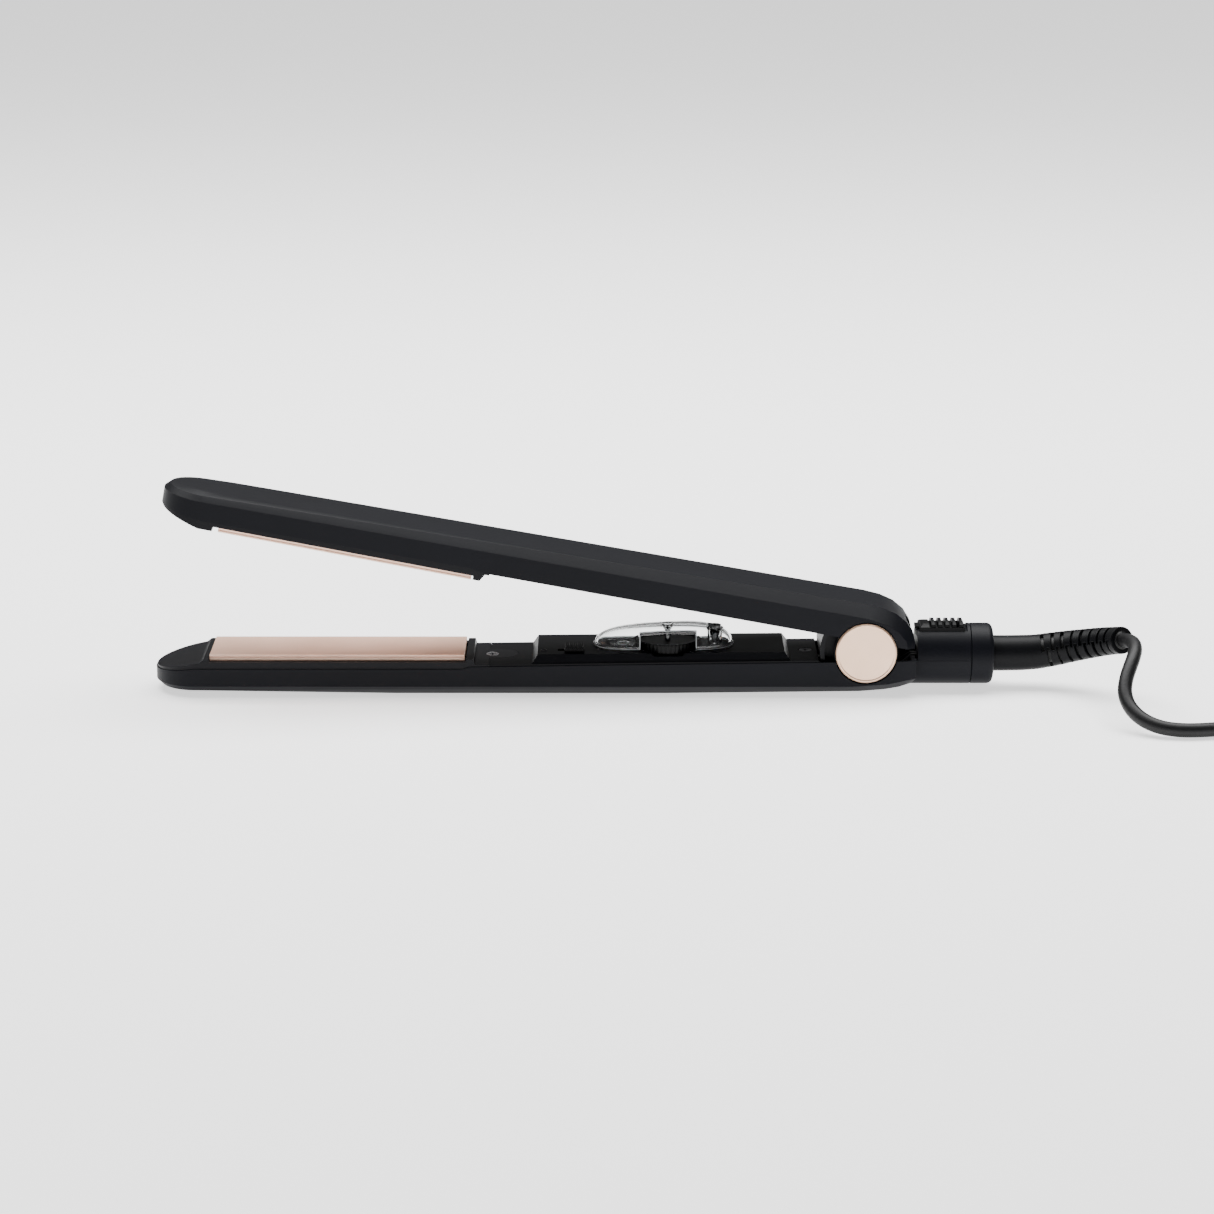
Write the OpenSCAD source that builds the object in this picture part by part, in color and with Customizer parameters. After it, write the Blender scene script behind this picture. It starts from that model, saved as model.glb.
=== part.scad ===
// Flat iron: two sprung arms with heated plates, a slide switch, a temperature wheel, an arm lock
// and a swivelling mains lead. The outlines are set out from the hinge axis: the noses point along
// -X, the tail along +X, and the lower arm lies on its belly. The arms are drawn sprung open.

/* [Arms] */
// Distance from the hinge axis to the tip of the lower nose
nose_reach = 251.7; // [246:0.5:310]
// How much longer the upper nose is than the lower one
nose_step = 1.6; // [0:0.1:3]
// Distance from the hinge axis to the back end of the arms
tail_reach = 17.7; // [17.2:0.1:19]
// Width of both arms
arm_w = 30; // [29:0.5:38]
// Height of the hinge axis over the belly of the lower arm
belly = 15.9; // [15:0.1:18]
// Wall thickness of the shells
wall = 1.8; // [1.4:0.1:2.2]
// Width of the bevel between each side and its flat crown
bevel_w = 4.9; // [3:0.1:6]
// Angle that the arms stand open at rest
open_angle = 11; // [6:0.5:13]

/* [Plates] */
// Length of the heated plates
plate_len = 90; // [70:1:95]
// Width of the heated plates
plate_w = 24.4; // [20:0.1:25]
// Distance from the nose tip to the front end of the plates
plate_setback = 20.2; // [19:0.1:26]
// Depth of the lower plate's face under the hinge axis
plate_drop = 1.1; // [0.8:0.1:1.6]
// Gap between the two faces when the arms are closed
plate_gap = 0.2; // [0.1:0.05:0.6]
// How far the floating upper plate can be pushed into its arm
float_travel = 0.8; // [0.4:0.1:1.2]

/* [Hinge] */
// Diameter of the round hinge caps
cap_d = 21.6; // [18:0.1:22]
// How far the caps stand proud of the arms' sides
cap_proud = 0.4; // [0:0.1:1]
// Diameter of the hinge pin
pin_d = 5; // [4:0.1:6.5]
// Outer diameter of the hinge knuckles
knuckle_d = 18; // [14:0.1:19]

/* [Controls] */
// Distance from the hinge axis to the centre of the temperature wheel
dial_x = 69.7; // [68:0.1:72]
// Diameter of the temperature wheel
dial_d = 23.4; // [20:0.1:24]
// Height of the temperature wheel
dial_h = 3.4; // [2.8:0.1:3.5]
// Number of teeth on the wheel's rim
dial_teeth = 48; // [24:1:60]
// Diameter of the wheel's spindle
spindle_d = 6; // [5:0.1:7]
// Distance from the hinge axis to the middle of the switch knob
knob_x = 102.8; // [101:0.1:105]
// Length of the switch knob along the arm
knob_len = 7; // [5:0.1:8]
// Width of the switch knob across the arm
knob_w = 7.2; // [5:0.1:8]
// Travel of the switch knob
knob_travel = 2.5; // [1.5:0.1:3]
// Diameter of the indicator lamp
led_d = 3; // [2:0.1:3.4]
// Greatest height of the clear lens over its seat
lens_h = 7.6; // [6:0.1:8]
// Greatest width of the clear lens
lens_w = 19.6; // [17:0.1:21]
// Diameter of the cover screws' heads
screw_head_d = 4.6; // [4:0.1:5.4]
// Diameter of the cover screws' shanks
screw_d = 2.5; // [2:0.1:3]

/* [Tail] */
// Diameter of the tail barrel and of its collar
barrel_d = 21.6; // [20.6:0.1:23]
// Length of the tail barrel in front of the collar
barrel_len = 18.9; // [18.4:0.1:26]
// Length of the swivel collar
collar_len = 8; // [7:0.1:12]
// Diameter of the swivel rotor's journal
journal_d = 10; // [8:0.1:11]
// Travel of the arm lock
lock_travel = 3; // [2:0.1:3]
// Width of the arm lock's slider
lock_w = 10.6; // [8:0.1:12]

/* [Cord] */
// Diameter of the mains lead
cord_d = 5; // [4.5:0.1:5.5]
// Diameter of the cord guard where it leaves the collar
guard_d = 12.7; // [11:0.1:13]
// Diameter of the cord guard at its tip
guard_tip_d = 9.4; // [8:0.1:11]
// Length of the hank's straight runs
hank_run = 95; // [80:1:100]
// Radius of the hank's outermost turn, to its outside
hank_r = 23; // [20:0.5:26]
// Diameter of the plug's pins
plug_pin_d = 4; // [3.8:0.1:4.8]
// Length of the plug's pins
plug_pin_len = 19; // [17:0.5:22]
// Distance between the plug's pins
plug_pin_pitch = 18.6; // [17:0.1:19]

/* [Fits] */
// Clearance all round pieces that drop into a seat
seat = 0.1; // [0.05:0.01:0.2]
// Radial clearance of a shaft that turns in its bore
running = 0.05; // [0.02:0.01:0.1]
// Clearance between pieces that sweep past each other
sweep = 0.4; // [0.3:0.05:0.6]

/* [Hidden] */
$fn = 64;

half = arm_w / 2;
inner = half - wall;
crown_half = half - bevel_w;
// where the parts stand along the arm, measured from the hinge axis
nose_x = -(nose_reach - half);
upper_nose_x = nose_x - nose_step;
plate_x0 = -(nose_reach - plate_setback);
plate_x1 = plate_x0 + plate_len;
rear_x = plate_x1 + 2;
barrel_x0 = tail_reach + 0.9;
barrel_x1 = barrel_x0 + barrel_len;
collar_x1 = barrel_x1 + 0.2 + collar_len;
barrel_z = -3.9;
barrel_r = barrel_d / 2;
bore_r = barrel_r - 3.6;
// the frame of the part: its origin lies on the floor under the middle of the iron
hinge_x = (nose_reach - collar_x1) / 2;
hinge_z = belly;

// heights of the lower arm, from the hinge axis
seam_front = -5.8;
side_low = -12.1;
rail_top = -3.3;
block_top = -2.4;
plate_top = -plate_drop;
floor_lift = 0.75;
pocket_z = -1.5;
// heights of the closed upper arm
plate_low = plate_top + plate_gap;
upper_side = 6.7;
upper_rail = plate_low + 2.2;

cap_r = cap_d / 2;
cap_hole_r = cap_r + 0.5;
cap_back = inner - 0.3;
ear_out = cap_back - 0.5;
ear_in = ear_out - 3;
knuckle_r = knuckle_d / 2;
knuckle_half = ear_in - 0.3;
spring_half = 3.6;
apron_r = 16.2;
cover_x1 = -(apron_r + 0.5);
cover_x0 = plate_x1 + 8.6;
tongue_x = plate_x1 + 18.7;
screw1_x = plate_x1 + 9.5;
screw2_x = -20.7;
island_x0 = -118;
island_x1 = -26.4;
island_half = 12.85;
dial_r = dial_d / 2;
dial_z = pocket_z + 0.15;
knob_y = -7.3;
slot_w = 2.4;
led_x = -85.7;
lens_x0 = -96;
lens_x1 = -46.3;
lens_screw_x = -53;
post_r = 2.5;
seat_z = -0.17;
board_z = -9.6;
board_t = 1.6;
lock_x0 = barrel_x0 + 0.8;
lock_x1 = barrel_x1 - 1.9;
lock_floor = 5.5;
skin = 0.05;

function low_seam(x) = -3.1 + 0.0134 * x;
function cover_top(x) = low_seam(x) + floor_lift;
function island_top(x) = 0.15 + 0.0082 * x;
function up_crown(x) = 16.5 + 0.0185 * x;
function up_bevel(x) = 12.45 + 0.0129 * x;
function up_seam(x) = 4.1 + 0.0083 * x;
function up_seam_front(x) = up_bevel(x) - upper_side;

// ---------- shared shapes ----------

// places a piece drawn round the hinge axis in the part's own frame
module at_hinge() {
    translate([hinge_x, 0, hinge_z]) children();
}

// the same for a piece of the upper arm, which is drawn closed and stands open
module at_open_arm() {
    at_hinge() rotate([0, open_angle, 0]) children();
}

// an outline in x and z, carried w across the arm
module side_slab(points, w) {
    rotate([90, 0, 0]) linear_extrude(w, center = true) polygon(points);
}

// an outline in y and z, carried along the arm from x0 to x1
module long_bar(x0, x1, points) {
    translate([x0, 0, 0]) rotate([90, 0, 90]) linear_extrude(x1 - x0) polygon(points);
}

// a cylinder across the arm
module cross_cyl(r, y0, y1) {
    translate([0, y0, 0]) rotate([-90, 0, 0]) cylinder(r = r, h = y1 - y0);
}

// a cylinder along the arm
module long_cyl(r, x0, x1) {
    translate([x0, 0, 0]) rotate([0, 90, 0]) cylinder(r = r, h = x1 - x0);
}

// a block given by its limits
module block(x0, x1, y0, y1, z0, z1) {
    translate([x0, y0, z0]) cube([x1 - x0, y1 - y0, z1 - z0]);
}

// the arm's outline from above, drawn in by inset
module arm_plan(centre_x, inset, x1) {
    translate([centre_x, 0]) circle(r = half - inset, $fn = 96);
    translate([centre_x, -(half - inset)]) square([x1 - centre_x, arm_w - 2 * inset]);
}

// a thin strip across the arm, a corner of the hulls that form the arms
module strip(x, z, w) {
    translate([x - 0.05, -w / 2, z - 0.05]) cube([0.1, w, 0.1]);
}

function unit(v) = v / norm(v);
function along(p, i) = unit(p[min(i + 1, len(p) - 1)] - p[max(i - 1, 0)]);
function carried(p, n, i = 0) =
    i >= len(p) ? [] :
    let (t = along(p, i), m = unit(n - (n * t) * t)) concat([m], carried(p, m, i + 1));

// a tube swept along the points p with the radii r
module tube(p, r, sides, start) {
    n = carried(p, start);
    last = len(p) - 1;
    points = [
        for (i = [0 : last], k = [0 : sides - 1])
            let (t = along(p, i), a = 360 * k / sides)
            p[i] + (is_list(r) ? r[i] : r) * (cos(a) * n[i] + sin(a) * cross(t, n[i]))
    ];
    walls = [
        for (i = [0 : last - 1], k = [0 : sides - 1])
            let (m = (k + 1) % sides)
            [i * sides + k, (i + 1) * sides + k, (i + 1) * sides + m, i * sides + m]
    ];
    ends = [
        [for (k = [0 : sides - 1]) k],
        [for (k = [0 : sides - 1]) last * sides + sides - 1 - k]
    ];
    polyhedron(points, concat(walls, ends));
}

// a countersunk cross-head screw that points down from its head's top face at z = 0
module cross_screw(length) {
    difference() {
        union() {
            cylinder(d = screw_head_d, h = 0.5);
            translate([0, 0, -1]) cylinder(d1 = screw_d, d2 = screw_head_d, h = 1, $fn = 48);
            translate([0, 0, -length]) cylinder(d = screw_d, h = length);
        }
        for (a = [0, 90])
            rotate([0, 0, a]) translate([-1.2, -0.3, -0.4]) cube([2.4, 0.6, 1]);
    }
}

// the hole that such a screw drops into
module screw_seat(length) {
    translate([0, 0, -length]) cylinder(r = screw_d / 2 + seat, h = length + 2);
    translate([0, 0, -1.2]) cylinder(d = screw_head_d + 0.4, h = 4);
}

// ---------- lower arm ----------

module lower_form() {
    hull() {
        translate([nose_x, 0, side_low]) cylinder(r = half, h = -side_low, $fn = 80);
        translate([nose_x, 0, -14.85]) cylinder(r = crown_half, h = 0.1, $fn = 64);
        translate([nose_x, 0, -14.0]) cylinder(r = half - 1.9, h = 0.1, $fn = 64);
        strip(plate_x0 + 66, -belly + 0.05, 2 * crown_half);
        strip(-70, -belly + 0.05, 2 * crown_half);
        strip(-2, -15.1, 2 * crown_half);
        strip(7, -14.4, 2 * crown_half);
        strip(12, -13.5, 2 * crown_half);
        strip(tail_reach - 1.5, -12.1, 2 * crown_half);
        strip(-5, side_low, arm_w);
        strip(8, -11.2, arm_w);
        strip(tail_reach - 0.05, -9.2, arm_w - 1);
        strip(tail_reach - 0.05, -0.05, arm_w - 1);
        strip(tail_reach - 1.5, -0.05, arm_w);
    }
}

module lower_shell() {
    color("#1c1d21") at_hinge() difference() {
        union() {
            intersection() {
                lower_form();
                side_slab([
                    [-nose_reach - 2, -8.1], [nose_x, seam_front], [plate_x1 - 1, seam_front],
                    [rear_x, low_seam(rear_x)], [tail_reach + 1, low_seam(tail_reach)],
                    [tail_reach + 1, -30], [-nose_reach - 2, -30]
                ], 2 * arm_w);
            }
            intersection() {
                translate([0, 0, barrel_z]) long_cyl(barrel_r, tail_reach - 3, barrel_x1);
                block(0, barrel_x1, -half, half, -30, barrel_z - skin);
            }
            intersection() {
                translate([0, 0, barrel_z]) long_cyl(barrel_r - 2, barrel_x1 - 1, collar_x1 - 2.2);
                block(0, collar_x1, -half, half, -30, barrel_z - skin);
            }
        }
        // the long hollow, deeper under the flat crown than over the bevels
        intersection() {
            translate([0, 0, -30]) linear_extrude(40) arm_plan(nose_x, wall, tail_reach - wall);
            side_slab([
                [-nose_reach, 5], [-nose_reach, side_low + 0.3], [4, side_low + 0.3], [8, -9.6],
                [tail_reach, -7.6], [tail_reach, 5]
            ], 2 * inner);
        }
        intersection() {
            translate([0, 0, -30]) linear_extrude(40) arm_plan(nose_x, bevel_w + 0.5, 13);
            side_slab([
                [nose_x - 6, 0], [nose_x - 6, -12.9], [nose_x, -13.1],
                [plate_x0 + 66, wall - belly], [-70, wall - belly],
                [-2, wall - 15.05], [6, -12.7], [13, -11], [13, 0]
            ], 2 * crown_half - 0.6);
        }
        translate([0, 0, barrel_z]) long_cyl(bore_r, tail_reach - 3, collar_x1);
        for (s = [-1, 1])
            cross_cyl(cap_hole_r, s * half - 2.3, s * half + 2.3);
    }
    // ribs that carry the plate carrier, and the bosses of the cover screws
    color("#1c1d21") at_hinge() {
        for (x = [plate_x0 + 6, plate_x0 + plate_len / 2, plate_x1 - 6])
            block(x - 1, x + 1, -crown_half + 1, crown_half - 1, -14.4, -9.7 - skin);
        for (x = [screw1_x, screw2_x])
            translate([x, 0, -14.4]) difference() {
                cylinder(r = 3, h = low_seam(x) - 1.7 + 14.4);
                translate([0, 0, 1]) cylinder(r = screw_d / 2 + skin, h = 20);
            }
    }
}

module lower_plate_frame() {
    color("#24262b") at_hinge() difference() {
        union() {
            intersection() {
                translate([0, 0, -20]) linear_extrude(30) arm_plan(nose_x, 0.4, cover_x0 - skin);
                side_slab([
                    [-nose_reach - 1, -7.95 + skin], [-nose_reach - 1, -7.3],
                    [plate_x0 - 3.5, -3.6], [plate_x0 - 2, block_top], [plate_x0 - 0.1, block_top],
                    [plate_x0, rail_top], [plate_x1 + 0.4, rail_top], [plate_x1 + 0.5, block_top],
                    [plate_x1 + 3, block_top], [plate_x1 + 3.6, cover_top(plate_x1 + 3.6)],
                    [cover_x0, cover_top(cover_x0)], [cover_x0, low_seam(cover_x0) + skin],
                    [rear_x, low_seam(rear_x) + skin], [plate_x1 - 1, seam_front + skin],
                    [nose_x, seam_front + skin]
                ], 2 * half);
            }
            // the tongue round the front screw laps over the control cover's seat
            intersection() {
                translate([0, 0, -20]) linear_extrude(30) {
                    translate([cover_x0 - 1, -5.6]) square([tongue_x - 5.6 - cover_x0 + 1, 11.2]);
                    translate([tongue_x - 5.6, 0]) circle(r = 5.6);
                }
                side_slab([
                    [cover_x0 - 1, cover_top(cover_x0)], [tongue_x, cover_top(tongue_x)],
                    [tongue_x, low_seam(tongue_x) - 1], [cover_x0 - 1, low_seam(cover_x0) - 1]
                ], 12);
            }
            // skirts that locate the frame between the shell's walls
            intersection() {
                translate([0, 0, -9]) linear_extrude(7) arm_plan(nose_x, wall + seat, plate_x0 - 1.2);
                side_slab([
                    [nose_x - 11, -8.4], [plate_x0, -8.4], [plate_x0, -5], [nose_x - 11, -6.9]
                ], arm_w);
            }
            block(plate_x1 + 1, cover_x0 - 3, -inner + seat, inner - seat, -7.6, -4.7);
        }
        // the window that the plate rises through
        block(plate_x0 - 0.5, plate_x1 + 0.5, -plate_w / 2 - 0.7, plate_w / 2 + 0.7, -20, 5);
        translate([screw1_x, 0, cover_top(screw1_x) - 0.5]) screw_seat(8);
    }
}

module control_cover() {
    color("#202227") at_hinge() difference() {
        union() {
            // the floor, which lies on the shell's edge
            side_slab([
                [cover_x0 + skin, low_seam(cover_x0) + skin], [cover_x0 + skin, cover_top(cover_x0)],
                [cover_x1, cover_top(cover_x1)], [cover_x1, low_seam(cover_x1) + skin]
            ], 2 * (half - 0.4));
            // the skirt between the shell's walls
            side_slab([
                [tongue_x + 2, low_seam(tongue_x) - 1.6], [tongue_x + 2, low_seam(tongue_x) + 0.3],
                [cover_x1, low_seam(cover_x1) + 0.3], [cover_x1, low_seam(cover_x1) - 1.6]
            ], 2 * (inner - seat));
            // the raised island that carries the controls
            intersection() {
                side_slab([
                    [island_x0, cover_top(island_x0) - 0.3], [island_x0 + 2.2, island_top(island_x0)],
                    [island_x1 - 2.2, island_top(island_x1)], [island_x1, cover_top(island_x1) - 0.3]
                ], arm_w);
                long_bar(island_x0, island_x1, [
                    [-half + 0.5, -5], [half - 0.5, -5], [island_half, 0.3], [-island_half, 0.3]
                ]);
            }
        }
        // the seat of the frame's tongue
        translate([0, 0, -20]) linear_extrude(30) {
            translate([cover_x0 - 1, -5.6 - seat]) square([tongue_x - 5.6 - cover_x0 + 1, 11.2 + 2 * seat]);
            translate([tongue_x - 5.6, 0]) circle(r = 5.6 + seat);
        }
        // the hollow under the island
        block(island_x0 + 3, board_hollow_x0(), -inner + wall, inner - wall, -20, -2.4);
        block(board_hollow_x0() - 1, screw2_x - 5, -inner + wall, inner - wall, -20, pocket_z - 1.4);
        // the pocket of the temperature wheel, with a scallop for the thumb at each side
        translate([-dial_x, 0, pocket_z]) cylinder(r = dial_r + sweep, h = 5);
        intersection() {
            translate([-dial_x, 0, pocket_z]) cylinder(r = dial_r + 2.6, h = 5);
            for (s = [-1, 1])
                block(-dial_x - 7, -dial_x + 7, s * 12 - 4, s * 12 + 4, pocket_z, 5);
        }
        translate([-dial_x, 0, -9]) cylinder(r = spindle_d / 2 + sweep, h = 10);
        // the slot of the switch, the lamp's dish and hole
        block(-knob_x - 5.9, -knob_x + 3.4, knob_y - slot_w / 2, knob_y + slot_w / 2, -6, 2);
        hull() {
            for (x = [-89.4, -84.9])
                translate([x, 0, -1.8]) cylinder(r = 2.1, h = 3, $fn = 32);
        }
        translate([led_x, 0, -6]) cylinder(r = led_d / 2 + seat, h = 8);
        translate([lens_screw_x, 0, -9]) cylinder(r = screw_d / 2 + skin, h = 12);
        translate([screw2_x, 0, cover_top(screw2_x) - 0.5]) screw_seat(8);
    }
}

function board_hollow_x0() = -dial_x - dial_r - 1.4;

module lower_cover_screws() {
    color("#3a3d42") at_hinge()
        for (x = [screw1_x, screw2_x])
            translate([x, 0, cover_top(x) - 0.6]) cross_screw(7);
}

// a heated plate drawn with its face at z = 0 and its back along -z
module plate_bar() {
    w = plate_w / 2;
    long_bar(plate_x0, plate_x1, [
        [-w + 0.3, 0], [-w, -0.25], [-w, -0.7], [-w + 0.3, -0.8], [-w + 0.3, -1.15], [-w - 0.05, -1.25],
        [-w - 0.05, -2.3], [-w + 1.2, -2.3], [-w + 1.2, -1.7], [-6.8, -1.7], [-6.8, -5.6],
        [-5.4, -5.6], [-5.4, -1.7], [5.4, -1.7], [5.4, -5.6], [6.8, -5.6], [6.8, -1.7],
        [w - 1.2, -1.7], [w - 1.2, -2.3], [w + 0.05, -2.3], [w + 0.05, -1.25], [w - 0.3, -1.15],
        [w - 0.3, -0.8], [w, -0.7], [w, -0.25], [w - 0.3, 0]
    ]);
}

// the heat-proof tray behind a plate, drawn like the plate
module carrier_tray() {
    difference() {
        block(plate_x0 + 0.2, plate_x1 - 0.2, -plate_w / 2 + 0.2, plate_w / 2 - 0.2, -8.5, -2.3 - skin);
        block(plate_x0 + 1.6, plate_x1 - 1.6, -plate_w / 2 + 1.6, plate_w / 2 - 1.6, -7.3, 0);
        block(plate_x1 - 4, plate_x1 + 1, -3, 3, -9, -4);
        block(plate_x0, plate_x0 + 2, -7.2, 7.2, -5.8, 0);
        block(plate_x1 - 2, plate_x1, -7.2, 7.2, -5.8, 0);
    }
}

module heater_block() {
    mid = (plate_x0 + plate_x1) / 2;
    block(mid - 30, mid + 30, -5.3, 5.3, -4.6, -1.7 - skin);
}

// the bowed leaf that presses the heater on the plate
module heater_leaf() {
    mid = (plate_x0 + plate_x1) / 2;
    side_slab([
        [mid - 28, -7.3 + skin], [mid - 12, -5.0], [mid, -4.6 - skin], [mid + 12, -5.0],
        [mid + 28, -7.3 + skin], [mid + 26, -7.3 + skin], [mid + 11.4, -5.4], [mid, -5.1],
        [mid - 11.4, -5.4], [mid - 26, -7.3 + skin]
    ], 8);
}

module lower_plate() {
    color("#d3b3a3") at_hinge() translate([0, 0, plate_top]) plate_bar();
}

module lower_carrier() {
    color("#2b2b2e") at_hinge() translate([0, 0, plate_top]) carrier_tray();
}

module lower_heater() {
    color("#c98a3a") at_hinge() translate([0, 0, plate_top]) heater_block();
}

module lower_heater_clip() {
    color("#b9bcc0") at_hinge() translate([0, 0, plate_top]) heater_leaf();
}

module thermal_fuse() {
    color("#d9dbdd") at_hinge() translate([plate_x1 - 12, 8.9, plate_top - 3.9]) {
        long_cyl(1.6, -7, 3);
        long_cyl(0.5, -11, 7);
    }
}

module thermistor() {
    color("#e0b060") at_hinge() translate([plate_x0 + 14, 8.9, plate_top - 3.2]) {
        sphere(r = 1.3, $fn = 24);
        for (s = [-1, 1])
            translate([0, s * 0.6, 0]) long_cyl(0.3, 0, 18);
    }
}

// ---------- controls ----------

module circuit_board() {
    color("#1d5a35") at_hinge() difference() {
        block(-113, -34, -inner + wall + 0.6, inner - wall - 0.6, board_z, board_z + board_t);
        translate([lens_screw_x, 0, board_z - 1]) cylinder(r = 2.6, h = 4);
    }
}

module board_parts() {
    z = board_z + board_t + skin;
    color("#8a4b2a") at_hinge() {
        translate([-46, 6, z]) cylinder(r = 3, h = 2.6);
        block(-50, -40, -9.5, -2.6, z, z + 2.2);
        block(-96, -92, 4, 9.5, z, z + 3);
        block(-39, -35.5, -9, 9, z, z + 2.4);
    }
}

module dial_potentiometer() {
    z = board_z + board_t + skin;
    color("#34506e") at_hinge() translate([-dial_x, 0, 0]) difference() {
        translate([0, 0, z]) cylinder(r = 8, h = 3.6);
        translate([0, 0, z + 0.6]) cylinder(r = spindle_d / 2 + running, h = 5);
    }
}

module switch_body() {
    z = board_z + board_t + skin;
    color("#2a2a2a") at_hinge() difference() {
        block(-knob_x - 6.5, -knob_x + 5, knob_y - 3.2, knob_y + 3.2, z, z + 4);
        block(-knob_x - 5.4, -knob_x + 3.2, knob_y - 1.3, knob_y + 1.3, z + 1.4, z + 5);
    }
}

module indicator_led() {
    z = board_z + board_t + skin;
    color("#b9c4ff") at_hinge() translate([led_x, 0, 0]) {
        translate([0, 0, -3.4]) cylinder(d = led_d, h = 1.7);
        translate([0, 0, -1.7]) sphere(d = led_d, $fn = 32);
        for (s = [-1, 1])
            block(-0.25, 0.25, s * 0.9 - 0.25, s * 0.9 + 0.25, z, -3.3);
    }
}

// the lens is a leaf: its half-width and height at a share u of its length
function lens_half(u) = lens_w / 2 * pow(sin(180 * pow(u, 1.25)), 0.72) + 0.25;
function lens_rise(u) = (lens_h - 0.5) * pow(sin(180 * pow(u, 1.75)), 0.62) + 0.5;

// the lens's outer form or, drawn in by t, its hollow
module lens_form(t) {
    steps = 20;
    arc = 10;
    x0 = lens_x0 + t;
    span = lens_x1 - t - x0;
    points = [
        for (i = [0 : steps], k = [0 : arc])
            let (u = 0.004 + 0.992 * i / steps, a = 180 * k / arc)
            [x0 + span * u, -max(lens_half(u) - t, 0.1) * cos(a),
             (k == 0 || k == arc) ? 0 : max(lens_rise(u) - t, 0.1) * pow(sin(a), 0.8)]
    ];
    n = arc + 1;
    skin_faces = [
        for (i = [0 : steps - 1], k = [0 : arc - 1])
            [i * n + k, i * n + k + 1, (i + 1) * n + k + 1, (i + 1) * n + k]
    ];
    base_faces = [
        for (i = [0 : steps - 1]) [i * n + arc, i * n, (i + 1) * n, (i + 1) * n + arc]
    ];
    ends = [
        [for (k = [0 : arc]) arc - k],
        [for (k = [0 : arc]) steps * n + k]
    ];
    polyhedron(points, concat(skin_faces, base_faces, ends));
}

module dial_lens() {
    color("#dfe6ea", 0.35) at_hinge() difference() {
        union() {
            difference() {
                translate([0, 0, seat_z]) lens_form(0);
                translate([0, 0, seat_z - 0.01]) lens_form(1.2);
            }
            translate([lens_screw_x, 0, seat_z]) cylinder(r = post_r, h = lens_h - 1.6);
            translate([-dial_x, 0, dial_z + dial_h + 0.6]) cylinder(r = 1.3, h = 3.2);
            translate([-dial_x, 0, dial_z + dial_h + 2]) cylinder(r1 = 1.3, r2 = 2.1, h = 2.2, $fn = 48);
        }
        // the openings that the wheel turns through
        for (s = [-1, 1])
            block(-dial_x - 10.2, -dial_x + 10.2, s * (lens_w / 2 + 1) - 4.6, s * (lens_w / 2 + 1) + 4.6,
                  -3, dial_z + dial_h + sweep);
        translate([-dial_x, 0, -3]) cylinder(r = dial_r + sweep, h = dial_z + dial_h + sweep + 3);
        translate([lens_screw_x, 0, -3]) cylinder(r = screw_d / 2 + seat, h = 20);
        translate([lens_screw_x, 0, seat_z + lens_h - 2.6]) cylinder(r = screw_head_d / 2 + seat, h = 9);
    }
}

module lens_screw() {
    top = seat_z + lens_h - 2.6;
    color("#26282c") at_hinge() translate([lens_screw_x, 0, top + skin]) difference() {
        union() {
            cylinder(d = screw_head_d, h = 1.7);
            translate([0, 0, -11]) cylinder(d = screw_d, h = 11.2);
        }
        for (a = [0, 90])
            rotate([0, 0, a]) translate([-1.4, -0.35, 0.9]) cube([2.8, 0.7, 2]);
    }
}

module switch_knob() {
    top = island_top(-knob_x) + 0.1;
    color("#151618") at_hinge() translate([-knob_x, knob_y, 0]) {
        block(-knob_len / 2, knob_len / 2, -knob_w / 2, knob_w / 2, top, top + 1);
        for (i = [-2 : 2])
            block(i * 1.4 - 0.4, i * 1.4 + 0.4, -knob_w / 2, knob_w / 2, top + 0.9, top + 1.7);
        block(-2.4, 2.4, -0.9, 0.9, -6.2, top + 0.1);
    }
}

module dial_wheel() {
    color("#141416") at_hinge() translate([-dial_x, 0, dial_z]) difference() {
        union() {
            cylinder(r = dial_r - 0.5, h = dial_h);
            for (i = [0 : dial_teeth - 1])
                rotate([0, 0, i * 360 / dial_teeth])
                    translate([dial_r - 0.9, -0.4, 0.3]) cube([0.9, 0.8, dial_h - 0.6]);
        }
        translate([0, 0, dial_h - 0.8]) cylinder(r = dial_r - 2, h = 2);
        translate([0, 0, -1]) cylinder(r = spindle_d / 2 + 0.02, h = dial_h);
        translate([0, 0, -1]) cylinder(r = 0.8, h = 9);
    }
}

module dial_spindle() {
    z = board_z + board_t + 0.8;
    color("#d7d9db") at_hinge() translate([-dial_x, 0, 0])
        translate([0, 0, z]) cylinder(d = spindle_d, h = dial_z + dial_h - 1.1 - z);
}

// ---------- hinge ----------

module lower_hinge_block() {
    color("#2d2e32") at_hinge() difference() {
        union() {
            for (s = [-1, 1])
                translate([0, s * (ear_in + ear_out) / 2, 0]) {
                    w = ear_out - ear_in;
                    cross_cyl(knuckle_r, -w / 2, w / 2);
                    side_slab([
                        [-knuckle_r, 0], [knuckle_r, 0], [4, -11.4], [1.5 - knuckle_r, -11.4]
                    ], w);
                }
            block(-knuckle_r, 4, -crown_half + 1, crown_half - 1, -12.6, -11.2);
            for (s = [-1, 1])
                block(-knuckle_r + 1.5, 4, s * ear_in - 1.4, s * ear_in + 1.4, -11.7, -10.6);
        }
        cross_cyl(pin_d / 2 + 0.02, -half, half);
        for (s = [-1, 1])
            translate([0, s * (ear_in - 1.5), 0]) cross_cyl(knuckle_r + sweep, -1.5, 1.5);
    }
}

module hinge_pin() {
    color("#c4c7ca") at_hinge() cross_cyl(pin_d / 2, -cap_back + 0.3, cap_back - 0.3);
}

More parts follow.
